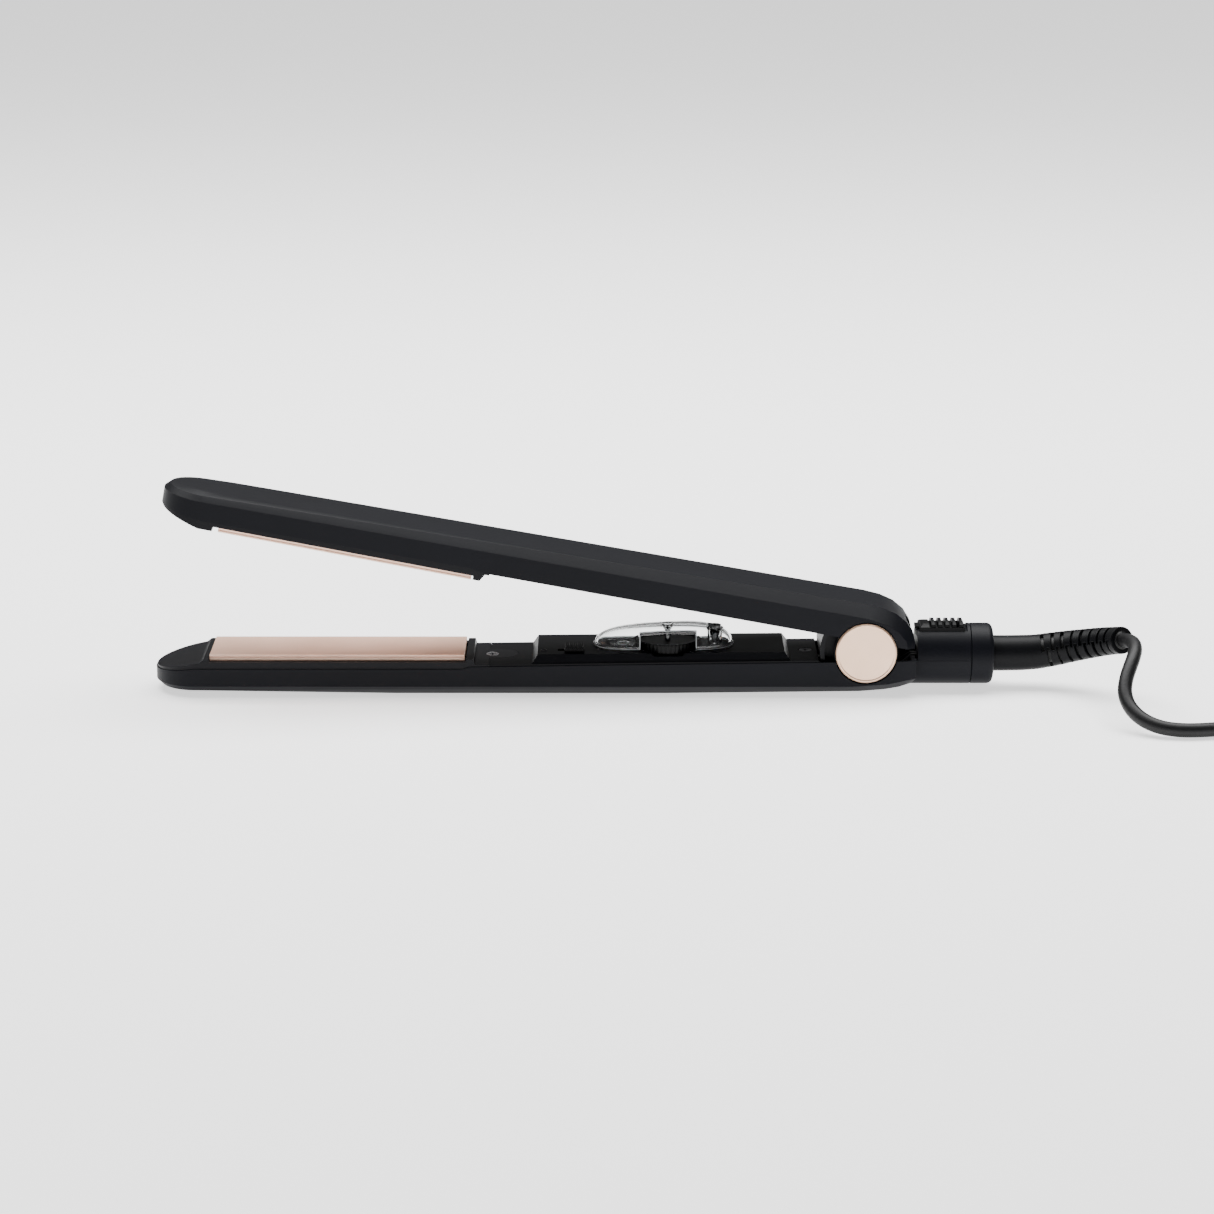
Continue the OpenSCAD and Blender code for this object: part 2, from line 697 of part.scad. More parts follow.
// a cap is a turned disc with a shallow dish inside a thin rim
module hinge_caps() {
    face = half + cap_proud;
    color("#dccbbd") at_hinge()
        for (s = [-1, 1])
            rotate([s * -90, 0, 0]) rotate_extrude($fn = 96) polygon([
                [0, cap_back - 0.3 + skin], [3.6, cap_back - 0.3 + skin], [3.6, cap_back],
                [cap_r, cap_back], [cap_r, face - 0.5], [cap_r - 0.5, face],
                [cap_r - 0.9, face], [cap_r - 1.1, face - 0.2], [0, face - 0.2]
            ]);
}

// the torsion spring lies round the pin between the upper knuckles; one leg bears on each arm
spring_r = 4.6;
spring_wire = 1.2;
spring_turns = 4;
function spring_path() = concat(
    [[-spring_r, -2.7, -9.4], [-spring_r, -2.7, -4.5]],
    [for (i = [0 : 16 * spring_turns])
        let (a = 180 - 360 * i / 16, y = -2.7 + 5.4 * i / (16 * spring_turns))
        [spring_r * cos(a), y, spring_r * sin(a)]],
    [[-spring_r, 2.7, 4.5], [-spring_r, 2.7, 9.2]]
);

module hinge_spring() {
    color("#9fa3a7") at_hinge() tube(spring_path(), spring_wire / 2, 8, [0, 1, 0]);
}

module upper_hinge_block() {
    color("#232429") at_open_arm() difference() {
        union() {
            cross_cyl(knuckle_r, -knuckle_half, knuckle_half);
            side_slab([[-7.5, 3], [7.5, 3], [7.5, 11.8], [4, 13.4], [-7.5, 13.9]], 2 * knuckle_half - 0.6);
            side_slab([[-4, 7], [-14.9, 8], [-15.6, 0], [-14.8, -5], [-4, -6]], 2 * knuckle_half);
            // the apron that hides the hinge behind the open arms
            intersection() {
                difference() {
                    cross_cyl(apron_r, -ear_out, ear_out);
                    cross_cyl(apron_r - 1.6, -half, half);
                }
                side_slab([[0, 0], [-30, 19], [-30, -14]], arm_w);
            }
        }
        cross_cyl(pin_d / 2 + running, -half, half);
        // the gap for the spring and its leg
        cross_cyl(spring_r + 1.6, -spring_half, spring_half);
        block(-spring_r - 3.6, -spring_r + 3.6, -spring_half, spring_half, -12, 9.8);
        // the way for the leads
        block(-18, -8, knuckle_half - 0.1, knuckle_half + 3.5, 2.6, 10.5);
        block(-18, -8, knuckle_half - 0.1, knuckle_half + 3.5, -9, -1.5);
    }
}

// ---------- tail ----------

module tail_cover() {
    color("#1f2025") at_hinge() difference() {
        union() {
            intersection() {
                translate([0, 0, barrel_z]) long_cyl(barrel_r, barrel_x0, barrel_x1);
                block(0, barrel_x1, -half, half, barrel_z + skin, 30);
            }
            intersection() {
                translate([0, 0, barrel_z]) long_cyl(barrel_r - 2, barrel_x1 - 1, collar_x1 - 2.2);
                block(0, collar_x1, -half, half, barrel_z + skin, 30);
            }
        }
        translate([0, 0, barrel_z]) long_cyl(bore_r, barrel_x0 + 1.6, collar_x1);
        // the flat floor and the slot that the lock slides on
        block(barrel_x0 - 1, lock_x1 + 0.9, -lock_w / 2 - 0.3, lock_w / 2 + 0.3, lock_floor, 20);
        block(lock_x0 + 4.4 - lock_travel - 0.5, lock_x0 + 8.9, -1.6, 1.6, 0, 20);
        translate([0, 0, barrel_z]) long_cyl(3.2, 0, barrel_x0 + 3);
    }
}

module swivel_collar() {
    x0 = barrel_x1 + 0.2;
    color("#1a1b1f") at_hinge() translate([0, 0, barrel_z]) rotate([0, 90, 0])
        rotate_extrude($fn = 96) polygon([
            [barrel_r - 2 + skin, x0], [barrel_r, x0], [barrel_r, collar_x1 - 2],
            for (a = [15 : 15 : 75]) [barrel_r - 2 + 2 * cos(a), collar_x1 - 2 + 2 * sin(a)],
            [barrel_r - 2, collar_x1], [guard_d / 2 + sweep, collar_x1],
            [guard_d / 2 + sweep, collar_x1 - 2], [barrel_r - 2 + skin, collar_x1 - 2]
        ]);
}

// a split pair of rings would be one turned bush here: it carries the rotor's journal
module swivel_bush() {
    color("#d8d3c4") at_hinge() translate([0, 0, barrel_z]) difference() {
        long_cyl(bore_r - skin, barrel_x1 - 2.6, collar_x1 - 2.3);
        long_cyl(journal_d / 2 + running, barrel_x1 - 4, collar_x1);
    }
}

module swivel_rotor() {
    flange_x = barrel_x1 - 2.7;
    color("#26272b") at_hinge() translate([0, 0, barrel_z]) {
        difference() {
            union() {
                long_cyl(journal_d / 2, barrel_x0 + 5.2, collar_x1 - 1.8 - skin);
                long_cyl(bore_r - 0.5, flange_x - 2, flange_x);
            }
            long_cyl(1.6, barrel_x0, collar_x1);
        }
    }
}

module slip_rings() {
    color("#c9a24a") at_hinge() translate([0, 0, barrel_z])
        for (x = [barrel_x0 + 6.6, barrel_x0 + 10])
            difference() {
                long_cyl(journal_d / 2 + 0.7, x, x + 1.6);
                long_cyl(journal_d / 2 + skin, x - 1, x + 3);
            }
}

module brush_contacts() {
    color("#c9a24a") at_hinge() translate([0, 0, barrel_z])
        for (x = [barrel_x0 + 6.6, barrel_x0 + 10], s = [-1, 1])
            block(x + 0.3, x + 1.3, s * (journal_d / 2 + 0.75) - 0.15 + s * 0.2,
                  s * (journal_d / 2 + 0.75) + 0.15 + s * 0.2, -3.4, -0.4);
}

module lock_slider() {
    w = lock_w / 2;
    color("#17181b") at_hinge() {
        block(lock_x0, lock_x1, -w, w, lock_floor + skin, lock_floor + 1.2);
        intersection() {
            side_slab([
                [lock_x0, lock_floor + 1], [lock_x0 + 0.6, 7.2], [lock_x0 + 1.6, 7.8],
                [lock_x0 + 3.4, 7.9], [lock_x0 + 3.8, lock_floor + 1]
            ], 2 * w);
            translate([0, 0, barrel_z]) long_cyl(12, 0, 60);
        }
        intersection() {
            for (i = [0 : 4])
                translate([lock_x0 + 4.9 + 2.49 * i, 0, lock_floor + 1]) side_slab([
                    [-0.9, 0], [-0.55, 2], [0, 2.4], [0.55, 2], [0.9, 0]
                ], 2 * w - 1);
            translate([0, 0, barrel_z]) long_cyl(12.6, 0, 60);
        }
        // the tongue towards the upper arm, and the shank and foot under the slot
        block(barrel_x0 - 0.6, lock_x0 + 1, -2.6, 2.6, lock_floor + skin, lock_floor + 1.2);
        block(lock_x0 + 4.4, lock_x0 + 8.4, -1.3, 1.3, 2.2, lock_floor + 0.5);
        block(lock_x0 + 4.6, lock_x0 + 8.2, -2.2, 2.2, 1.95, 2.7);
    }
}

// ---------- upper arm, drawn closed ----------

module upper_form() {
    hull() {
        translate([upper_nose_x, 0, -2]) cylinder(r = half, h = up_bevel(upper_nose_x) + 2, $fn = 80);
        translate([upper_nose_x, 0, up_crown(upper_nose_x) - 0.25]) cylinder(r = crown_half, h = 0.1, $fn = 64);
        translate([upper_nose_x, 0, up_crown(upper_nose_x) - 1]) cylinder(r = half - 1.9, h = 0.1, $fn = 64);
        strip(upper_nose_x + 8, up_crown(upper_nose_x + 8), 2 * crown_half);
        strip(-3, up_crown(-3), 2 * crown_half);
        strip(3, 16.1, 2 * crown_half);
        strip(8, 14.9, 2 * crown_half);
        strip(12.3, 12.5, 2 * crown_half);
        strip(15.2, 9.3, 2 * crown_half + 1.6);
        strip(16.5, 6.2, 2 * crown_half + 3.2);
        strip(16.7, 4, 2 * crown_half + 3.6);
        strip(-3, up_bevel(-3), arm_w);
        strip(5, 11.6, arm_w);
        strip(10, 9.4, arm_w);
        strip(13, 6.8, arm_w);
        strip(14, 4, arm_w);
        strip(14, -2, arm_w);
        strip(16.7, -2, 2 * crown_half + 3.6);
    }
}

module upper_shell() {
    color("#1c1d21") at_open_arm() difference() {
        intersection() {
            upper_form();
            side_slab([
                [upper_nose_x - half - 2, 4.1], [upper_nose_x, up_seam_front(upper_nose_x)],
                [plate_x1 - 1, up_seam_front(plate_x1 - 1)], [rear_x + 2, up_seam(rear_x + 2)],
                [20, up_seam(20)], [20, 40], [upper_nose_x - half - 2, 40]
            ], 2 * arm_w);
        }
        intersection() {
            translate([0, 0, -10]) linear_extrude(40) arm_plan(upper_nose_x, wall, 14);
            side_slab([
                [-nose_reach - 5, -5], [-nose_reach - 5, up_bevel(-nose_reach) - 0.3],
                [2, up_bevel(0) - 0.6], [6, 10.2], [12, 7.4], [13.5, 4], [13.5, -5]
            ], 2 * inner);
        }
        intersection() {
            translate([0, 0, -10]) linear_extrude(40) arm_plan(upper_nose_x, bevel_w + 0.5, 16);
            side_slab([
                [upper_nose_x - 6, 0], [upper_nose_x - 6, up_crown(upper_nose_x) - 2.2],
                [-3, up_crown(-3) - wall], [5, 13.6], [9.6, 11.4], [13.2, 8.2], [14.6, 4], [14.6, 0]
            ], 2 * crown_half - 0.6);
        }
        for (s = [-1, 1])
            cross_cyl(cap_hole_r, s * half - 2.3, s * half + 2.3);
        // the mouth that the arm lock runs into, with the arms open and shut
        for (a = [0, open_angle / 2, open_angle])
            rotate([0, -a, 0])
                block(11, 30, -lock_w / 2 - sweep, lock_w / 2 + sweep, 1.5, 9.6);
    }
    // ribs behind the plate carrier and the bosses of the cover screws
    color("#1c1d21") at_open_arm() {
        for (x = [plate_x0 + 6, plate_x1 - 6])
            block(x - 3.2, x + 3.2, -crown_half + 1, crown_half - 1,
                  up_crown(x) - 2.3, up_crown(x) - wall + 0.3);
        for (x = [screw1_x, -32])
            translate([x, 0, up_seam(x) + 1.9]) difference() {
                cylinder(r = 3, h = up_crown(x) - wall - up_seam(x) - 1.7);
                translate([0, 0, -1]) cylinder(r = screw_d / 2 + skin, h = 7);
            }
    }
}

module upper_plate_frame() {
    color("#24262b") at_open_arm() difference() {
        union() {
            intersection() {
                translate([0, 0, -10]) linear_extrude(30) arm_plan(upper_nose_x, 0.4, rear_x + 4);
                side_slab([
                    [upper_nose_x - half - 2, 4.1 - skin], [upper_nose_x - half, 3.4],
                    [plate_x0 - 7, plate_low + 0.6], [plate_x0 - 2, plate_low + 0.6],
                    [plate_x0 - 2, upper_rail], [plate_x1 + 0.5, upper_rail],
                    [plate_x1 + 0.6, plate_low + 0.8], [plate_x1 + 3, plate_low + 0.8],
                    [plate_x1 + 4.5, up_seam(rear_x) - 0.5], [rear_x + 4, up_seam(rear_x) - 0.5],
                    [rear_x + 4, up_seam(rear_x + 4) - skin], [rear_x + 2, up_seam(rear_x + 2) - skin],
                    [plate_x1 - 1, up_seam_front(plate_x1 - 1) - skin],
                    [upper_nose_x, up_seam_front(upper_nose_x) - skin]
                ], 2 * half);
            }
            block(plate_x1 + 1, rear_x + 4, -inner + seat, inner - seat, 2.6, 5.4);
            intersection() {
                translate([0, 0, 0]) linear_extrude(5.6) arm_plan(upper_nose_x, wall + seat, plate_x0 - 1.2);
                side_slab([
                    [upper_nose_x - 8, 3], [plate_x0, 1.5], [plate_x0, 5.6], [upper_nose_x - 8, 5.6]
                ], arm_w);
            }
        }
        block(plate_x0 - 0.5, plate_x1 + 0.5, -plate_w / 2 - 0.7, plate_w / 2 + 0.7, -20, 20);
    }
}

module upper_cover() {
    x0 = rear_x + 4 + 0.1;
    color("#1e2024") at_open_arm() difference() {
        union() {
            side_slab([
                [x0, up_seam(x0) - 0.4], [cover_x1, up_seam(cover_x1) - 0.4],
                [cover_x1, up_seam(cover_x1) + 1.8], [x0, up_seam(x0) + 1.8]
            ], 2 * (inner - seat));
            // the raised roof of the pocket that takes the lens when the arms close
            block(lens_x0 - 4, lens_x1 + 4, -lens_w / 2 - 2.4, lens_w / 2 + 2.4, 4, 10.6);
        }
        block(lens_x0 - 2.4, lens_x1 + 2.4, -lens_w / 2 - 1, lens_w / 2 + 1, -2, 9.3);
        for (x = [screw1_x, -32])
            translate([x, 0, up_seam(x) + 0.1]) rotate([180, 0, 0]) screw_seat(8);
    }
}

module upper_cover_screws() {
    color("#3a3d42") at_open_arm()
        for (x = [screw1_x, -32])
            translate([x, 0, up_seam(x) + 0.2]) rotate([180, 0, 0]) cross_screw(6);
}

module upper_plate() {
    color("#d3b3a3") at_open_arm() translate([0, 0, plate_low]) mirror([0, 0, 1]) plate_bar();
}

module upper_carrier() {
    color("#2b2b2e") at_open_arm() translate([0, 0, plate_low]) mirror([0, 0, 1]) carrier_tray();
}

module upper_heater() {
    color("#c98a3a") at_open_arm() translate([0, 0, plate_low]) mirror([0, 0, 1]) heater_block();
}

module upper_heater_clip() {
    color("#b9bcc0") at_open_arm() translate([0, 0, plate_low]) mirror([0, 0, 1]) heater_leaf();
}

// two coil springs push the floating plate out of its arm
module float_springs() {
    z0 = plate_low + 8.5 + 0.4;
    color("#b9bcc0") at_open_arm()
        for (x = [plate_x0 + 6, plate_x1 - 6]) {
            z1 = up_crown(x) - 2.3 - 0.4;
            tube([for (i = [0 : 36])
                let (a = i * 30) [x + 2.4 * cos(a), 2.4 * sin(a), z0 + (z1 - z0) * i / 36]
            ], 0.35, 6, [0, 0, 1]);
        }
}

// ---------- wires ----------

module lower_wires() {
    color("#c8322c") at_hinge()
        for (s = [-1, 1])
            tube([
                [-113.5, s * 4, -8.6], [-118, s * 4, -9.4], [plate_x1 + 15.5, s * 5.4, -9.8],
                [plate_x1 + 8.5, s * 5.4, -9.6], [plate_x1 + 3.5, s * 3, -8.8], [plate_x1, s * 1.8, -8.5],
                [plate_x1 - 3.5, s * 1.6, -7.6]
            ], 0.8, 8, [0, 1, 0]);
}

module supply_wires() {
    color("#7a4a2a") at_hinge()
        for (s = [-1, 1])
            tube([
                [-33.5, s * 3, -8.6], [-28, s * 5.4, -9], [-18, s * 6.4, -9.6],
                [-10, s * 6.4, -10.1], [6, s * 5.6, -10], [12, s * 3.4, -8], [17, s * 1.4, barrel_z - 0.4],
                [21, s * 1.4, barrel_z - 0.3]
            ], 0.8, 8, [0, 1, 0]);
}

// the slack loop that carries the current across the hinge, inside the apron
module hinge_leads() {
    color("#c8322c") at_hinge()
        for (y = [knuckle_half + 0.9, knuckle_half + 2.5])
            tube([
                [-15.6, y, 10.6], [-13, y, 8.6], [-11.9, y, 5], [-11.8, y, 0], [-12.2, y, -4],
                [-14.4, y - 0.2, -8], [-19, y - 0.4, -9.4], [-27, y - 1, -9], [-33.5, y - 1.6, -8.6]
            ], 0.6, 8, [0, 1, 0]);
}

module upper_wires() {
    color("#c8322c") at_open_arm()
        for (s = [-1, 1])
            tube([
                [-17.9, knuckle_half + 1.7 + s * 0.8, 7.8], [-22, 9 + s * 1.1, 8.4], [-32, 5.2 + s * 1.2, 10],
                [-42, 4.6 + s * 1.2, 12], [-100, 4.6 + s * 1.2, 11.75], [-112, 4.8 + s * 1.2, 10],
                [plate_x1 + 15.5, 5.4 + s * 1.4, 8.6], [plate_x1 + 7.5, 5.3 + s * 1.4, 7.6],
                [plate_x1 + 0.9, 0.3 + s * 1.6, 7.2], [plate_x1 - 2.9, s * 1.6, plate_low + 6.8]
            ], 0.7, 8, [0, 1, 0]);
}

// ---------- mains lead ----------

// route points, from the hinge axis: chosen by hand along the middle of the lead
guard_route = [
    [44, 0, -3.9], [50, 0, -3.9], [56, 0, -3.8], [61, -0.1, -3.5], [65, -0.5, -2.8],
    [69, -1.3, -1.9], [73, -2.6, -0.8], [77, -4.5, 0.4], [81, -7.2, 1.8], [84.5, -10.4, 3.2],
    [87.5, -14, 4.5], [89.5, -17.5, 5.6]
];
cord_route = [
    [89.5, -17.5, 5.6], [91.2, -22.2, 6.7], [92.1, -27.3, 7], [91.9, -32.4, 6.3],
    [90.7, -37.2, 4.6], [88.9, -41.5, 2.1], [87.3, -45.3, -0.9], [86.5, -49.1, -4.1],
    [87.2, -53, -7.1], [89.4, -56.9, -9.6], [93, -60.3, -11.5], [97.8, -62.8, -12.7],
    [103.6, -63.9, -13.2], [110, -63.7, -13.3], [117, -62.4, -13.3], [124, -60.8, -13.3],
    [131, -59.5, -13.3], [138, -59, -13.3], [144, -59, -13.3], [152, -59, -13.3]
];
hank_x0 = 126;
hank_y = -38.5;
hank_h = 15.4;
plug_x = 274;
plug_y0 = 32;
plug_z = -15.9 + 7.1;
lead_route = [
    [244, -59, -8.2], [251.8, -58, -8.2], [259, -55, -8.2], [265.2, -50.2, -8.5],
    [270, -44, -9.3], [273, -36.8, -9.8], [274, -29, -9.6], [274, -22, -9],
    [274, -16, -8.8], [274, -10, -8.8], [274, -5, -8.8], [274, -2.05, -8.8]
];
plug_len = 34;

module cord_guard() {
    last = len(guard_route) - 1;
    radii = [
        for (i = [0 : last])
            i < 2 ? guard_d / 2 : guard_d / 2 - (guard_d - guard_tip_d) / 2 * pow((i - 1) / (last - 1), 0.8)
    ];
    color("#191a1d") at_hinge() tube(guard_route, radii, 16, [0, 0, 1]);
}

module power_cord() {
    color("#1b1b1e") at_hinge() tube(cord_route, cord_d / 2, 10, [0, 0, 1]);
}

module stadium(x0, y, run, r) {
    translate([x0 + r, y]) circle(r = r);
    translate([x0 + r + run, y]) circle(r = r);
    translate([x0 + r, y - r]) square([run, 2 * r]);
}

module cord_hank() {
    color("#1b1b1e") at_hinge() translate([0, 0, -belly]) linear_extrude(hank_h) difference() {
        stadium(hank_x0, hank_y, hank_run, hank_r);
        stadium(hank_x0 + 2 * cord_d + 0.6, hank_y, hank_run, hank_r - 2 * cord_d - 0.6);
    }
}

module hank_tie() {
    x = hank_x0 + hank_r + hank_run / 2;
    color("#2a2a2d") at_hinge() translate([0, 0, -belly]) difference() {
        block(x - 4, x + 4, hank_y - hank_r - 0.9, hank_y + hank_r + 0.9, 0, hank_h + 1.2);
        block(x - 5, x + 5, hank_y - hank_r - 0.1, hank_y + hank_r + 0.1, -1, hank_h + 0.2);
    }
}

module plug_lead() {
    color("#1b1b1e") at_hinge() tube(lead_route, cord_d / 2, 10, [0, 0, 1]);
}

// a piece of the plug, drawn with its pins along -X, standing at the end of the hank
module at_plug() {
    at_hinge() translate([plug_x, plug_y0, plug_z]) rotate([0, 0, -90]) children();
}

module plug_guard() {
    color("#191a1d") at_plug() difference() {
        translate([plug_len, 0, 0]) rotate([0, 90, 0]) cylinder(r1 = 5, r2 = 3.6, h = 16, $fn = 48);
        long_cyl(cord_d / 2 + 0.15, plug_len - 1, plug_len + 17);
    }
}

module plug_body() {
    color("#1b1c20") at_plug() hull() {
        block(0, 10, -13, 13, -6.9, 6.9);
        block(20, 24, -10, 10, -6.4, 6.4);
        block(plug_len - 2, plug_len, -6, 6, -5.6, 5.6);
    }
}

module plug_pins() {
    color("#d4d6d8") at_plug()
        for (s = [-1, 1])
            translate([0, s * plug_pin_pitch / 2, 0]) {
                long_cyl(plug_pin_d / 2, -plug_pin_len + 1, 0);
                translate([-plug_pin_len + 1, 0, 0]) sphere(d = plug_pin_d);
            }
}

lower_shell();
lower_plate_frame();
control_cover();
lower_cover_screws();
lower_plate();
lower_carrier();
lower_heater();
lower_heater_clip();
thermal_fuse();
thermistor();
circuit_board();
board_parts();
dial_potentiometer();
switch_body();
indicator_led();
dial_lens();
lens_screw();
lower_hinge_block();
hinge_pin();
hinge_caps();
hinge_spring();
tail_cover();
swivel_collar();
swivel_bush();
brush_contacts();
lower_wires();
supply_wires();
hinge_leads();
upper_shell();
upper_plate_frame();
upper_cover();
upper_cover_screws();
upper_hinge_block();
upper_wires();
upper_plate();
upper_carrier();
upper_heater();
upper_heater_clip();
float_springs();
switch_knob();
dial_wheel();
dial_spindle();
lock_slider();
swivel_rotor();
slip_rings();
cord_guard();
power_cord();
cord_hank();
hank_tie();
plug_lead();
plug_guard();
plug_body();
plug_pins();
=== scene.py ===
import math

import bmesh
import bpy
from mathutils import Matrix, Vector


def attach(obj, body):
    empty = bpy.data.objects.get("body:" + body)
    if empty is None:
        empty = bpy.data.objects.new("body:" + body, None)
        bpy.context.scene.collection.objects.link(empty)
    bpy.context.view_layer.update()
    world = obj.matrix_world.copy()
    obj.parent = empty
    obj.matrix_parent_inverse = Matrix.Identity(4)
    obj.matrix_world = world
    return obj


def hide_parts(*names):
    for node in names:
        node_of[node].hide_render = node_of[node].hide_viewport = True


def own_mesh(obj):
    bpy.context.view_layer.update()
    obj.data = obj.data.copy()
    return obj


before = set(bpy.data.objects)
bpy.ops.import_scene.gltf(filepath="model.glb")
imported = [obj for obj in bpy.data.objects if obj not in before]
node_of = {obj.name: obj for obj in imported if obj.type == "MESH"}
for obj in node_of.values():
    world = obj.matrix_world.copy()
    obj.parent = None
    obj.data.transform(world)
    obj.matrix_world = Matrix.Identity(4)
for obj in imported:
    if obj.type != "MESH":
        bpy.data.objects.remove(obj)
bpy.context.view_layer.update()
MM = 0.001

# ---------- camera, floor and light ----------
# A long lens from the side, 15 degrees above the table, with the iron lying along the frame.
# The floor is plain white paper, under one wide soft light from above.
camera_data = bpy.data.cameras.new("camera")
camera_data.lens = 108.6
camera_data.sensor_width = 36
camera = bpy.data.objects.new("camera", camera_data)
camera.location = (0.01172, -1.2557, 0.36536)
camera.rotation_euler = (math.radians(75), 0, 0)
bpy.context.scene.collection.objects.link(camera)
bpy.context.scene.camera = camera


class Tap:
    """One output of a shader node. Sums, products and comparisons of taps add Math nodes."""

    def __init__(self, recipe, socket):
        self.recipe = recipe
        self.socket = socket

    def _math(self, operation, a, b):
        return self.recipe.node("ShaderNodeMath", {"operation": operation}, [a, b])

    def __add__(self, other):
        return self._math("ADD", self, other)

    def __radd__(self, other):
        return self._math("ADD", other, self)

    def __sub__(self, other):
        return self._math("SUBTRACT", self, other)

    def __rsub__(self, other):
        return self._math("SUBTRACT", other, self)

    def __mul__(self, other):
        return self._math("MULTIPLY", self, other)

    def __rmul__(self, other):
        return self._math("MULTIPLY", other, self)

    def __truediv__(self, other):
        return self._math("DIVIDE", self, other)

    def __pow__(self, other):
        return self._math("POWER", self, other)

    def __gt__(self, other):
        return self._math("GREATER_THAN", self, other)

    def __lt__(self, other):
        return self._math("LESS_THAN", self, other)


class Recipe:
    """One material: a Principled shader and the nodes that feed it."""

    def __init__(self, name, **uniform):
        self.material = bpy.data.materials.new(name)
        self.material.use_nodes = True
        self.nodes = self.material.node_tree.nodes
        self.links = self.material.node_tree.links
        self.nodes.clear()
        self.shader = self.nodes.new("ShaderNodeBsdfPrincipled")
        out = self.nodes.new("ShaderNodeOutputMaterial")
        self.links.new(self.shader.outputs[0], out.inputs[0])
        for socket, value in uniform.items():
            self.shader.inputs[socket.replace("_", " ")].default_value = value

    def node(self, kind, settings, inputs, output=0):
        made = self.nodes.new(kind)
        for key, value in settings.items():
            if key == "stops":
                ramp = made.color_ramp.elements
                while len(ramp) < len(value):
                    ramp.new(0.5)
                for element, (place, colour) in zip(ramp, value):
                    element.position = place
                    element.color = (*colour, 1)
            else:
                setattr(made, key, value)
        pairs = enumerate(inputs) if isinstance(inputs, list) else inputs.items()
        for key, value in pairs:
            if isinstance(value, Tap):
                self.links.new(value.socket, made.inputs[key])
            elif value is not None:
                made.inputs[key].default_value = value
        return Tap(self, made.outputs[output])

    def place(self):
        return self.node("ShaderNodeTexCoord", {}, {}, "Object")

    def cloud(self, where, scale, detail=3.0, rough=0.55):
        return self.node(
            "ShaderNodeTexNoise", {},
            {"Vector": where, "Scale": scale, "Detail": detail, "Roughness": rough}
        )

    def ramp(self, factor, stops):
        return self.node("ShaderNodeValToRGB", {"stops": stops}, {"Fac": factor})

    def mix(self, factor, a, b):
        # sockets 6 and 7 of a colour Mix node are its two colours, and output 2 is the result
        return self.node("ShaderNodeMix", {"data_type": "RGBA"}, {0: factor, 6: a, 7: b}, 2)

    def feed(self, socket, tap):
        self.links.new(tap.socket, self.shader.inputs[socket])

    def relief(self, height, depth, strength=1.0):
        bump = self.node("ShaderNodeBump", {}, {"Strength": strength, "Distance": depth, "Height": height})
        self.feed("Normal", bump)


floor_mesh = bpy.data.meshes.new("floor")
floor_mesh.from_pydata([(-6, -6, 0), (6, -6, 0), (6, 6, 0), (-6, 6, 0)], [], [(0, 1, 2, 3)])
floor = bpy.data.objects.new("floor", floor_mesh)
floor.location.z = -0.0002
bpy.context.scene.collection.objects.link(floor)
paper = Recipe("paper_floor", Roughness=0.9, Emission_Color=(1, 1, 1, 1), Emission_Strength=1.15)
paper.shader.inputs["Specular IOR Level"].default_value = 0.1
paper.feed(
    "Base Color",
    paper.ramp(paper.cloud(paper.place(), 3.0), [(0.3, (0.90, 0.90, 0.90)), (0.7, (0.92, 0.92, 0.92))])
)
floor_mesh.materials.append(paper.material)

world = bpy.data.worlds.new("studio")
world.use_nodes = True
world.node_tree.nodes["Background"].inputs[0].default_value = (1, 1, 1, 1)
world.node_tree.nodes["Background"].inputs[1].default_value = 0.2
bpy.context.scene.world = world


def softbox(name, place, aim, width, depth, watts):
    data = bpy.data.lights.new(name, "AREA")
    data.shape = "RECTANGLE"
    data.size = width
    data.size_y = depth
    data.energy = watts
    lamp = bpy.data.objects.new(name, data)
    lamp.location = place
    lamp.rotation_euler = (Vector(aim) - Vector(place)).to_track_quat("-Z", "Y").to_euler()
    bpy.context.scene.collection.objects.link(lamp)


softbox("overhead", (0, 0.35, 1.1), (0, 0, 0), 1.6, 0.9, 42)
softbox("front", (-0.5, -1.3, 0.9), (0, 0, 0.02), 0.8, 0.6, 0.6)

# ---------- mains lead ----------
# A round 5 mm lead, 1.8 m long, with a satin rubber jacket. It leaves the cord guard in a tight
# hook, and what is left over is folded in a hank, outside the view, with its plug beside it.
AXIS = Vector((103, 0, 15.9))  # the hinge axis in the row frame, mm
LEAD_D = 5.0
guard_points = [
    (44, 0, -3.9), (50, 0, -3.9), (56, 0, -3.8), (61, -0.1, -3.5), (65, -0.5, -2.8),
    (69, -1.3, -1.9), (73, -2.6, -0.8), (77, -4.5, 0.4), (81, -7.2, 1.8), (84.5, -10.4, 3.2),
    (87.5, -14, 4.5), (89.5, -17.5, 5.6),
]
lead_points = [
    (89.5, -17.5, 5.6), (91.2, -22.2, 6.7), (92.1, -27.3, 7), (91.9, -32.4, 6.3),
    (90.7, -37.2, 4.6), (88.9, -41.5, 2.1), (87.3, -45.3, -0.9), (86.5, -49.1, -4.1),
    (87.2, -53, -7.1), (89.4, -56.9, -9.6), (93, -60.3, -11.5), (97.8, -62.8, -12.7),
    (103.6, -63.9, -13.2), (110, -63.7, -13.3), (117, -62.4, -13.3), (124, -60.8, -13.3),
    (131, -59.5, -13.3), (138, -59, -13.3), (144, -59, -13.3),
]
HANK_X, HANK_Y, HANK_RUN = 149.0, -38.5, 95.0
LANES = {"O": 20.4, "I": 15.2}
FLOORS = [-13.3, -8.2, -3.1]


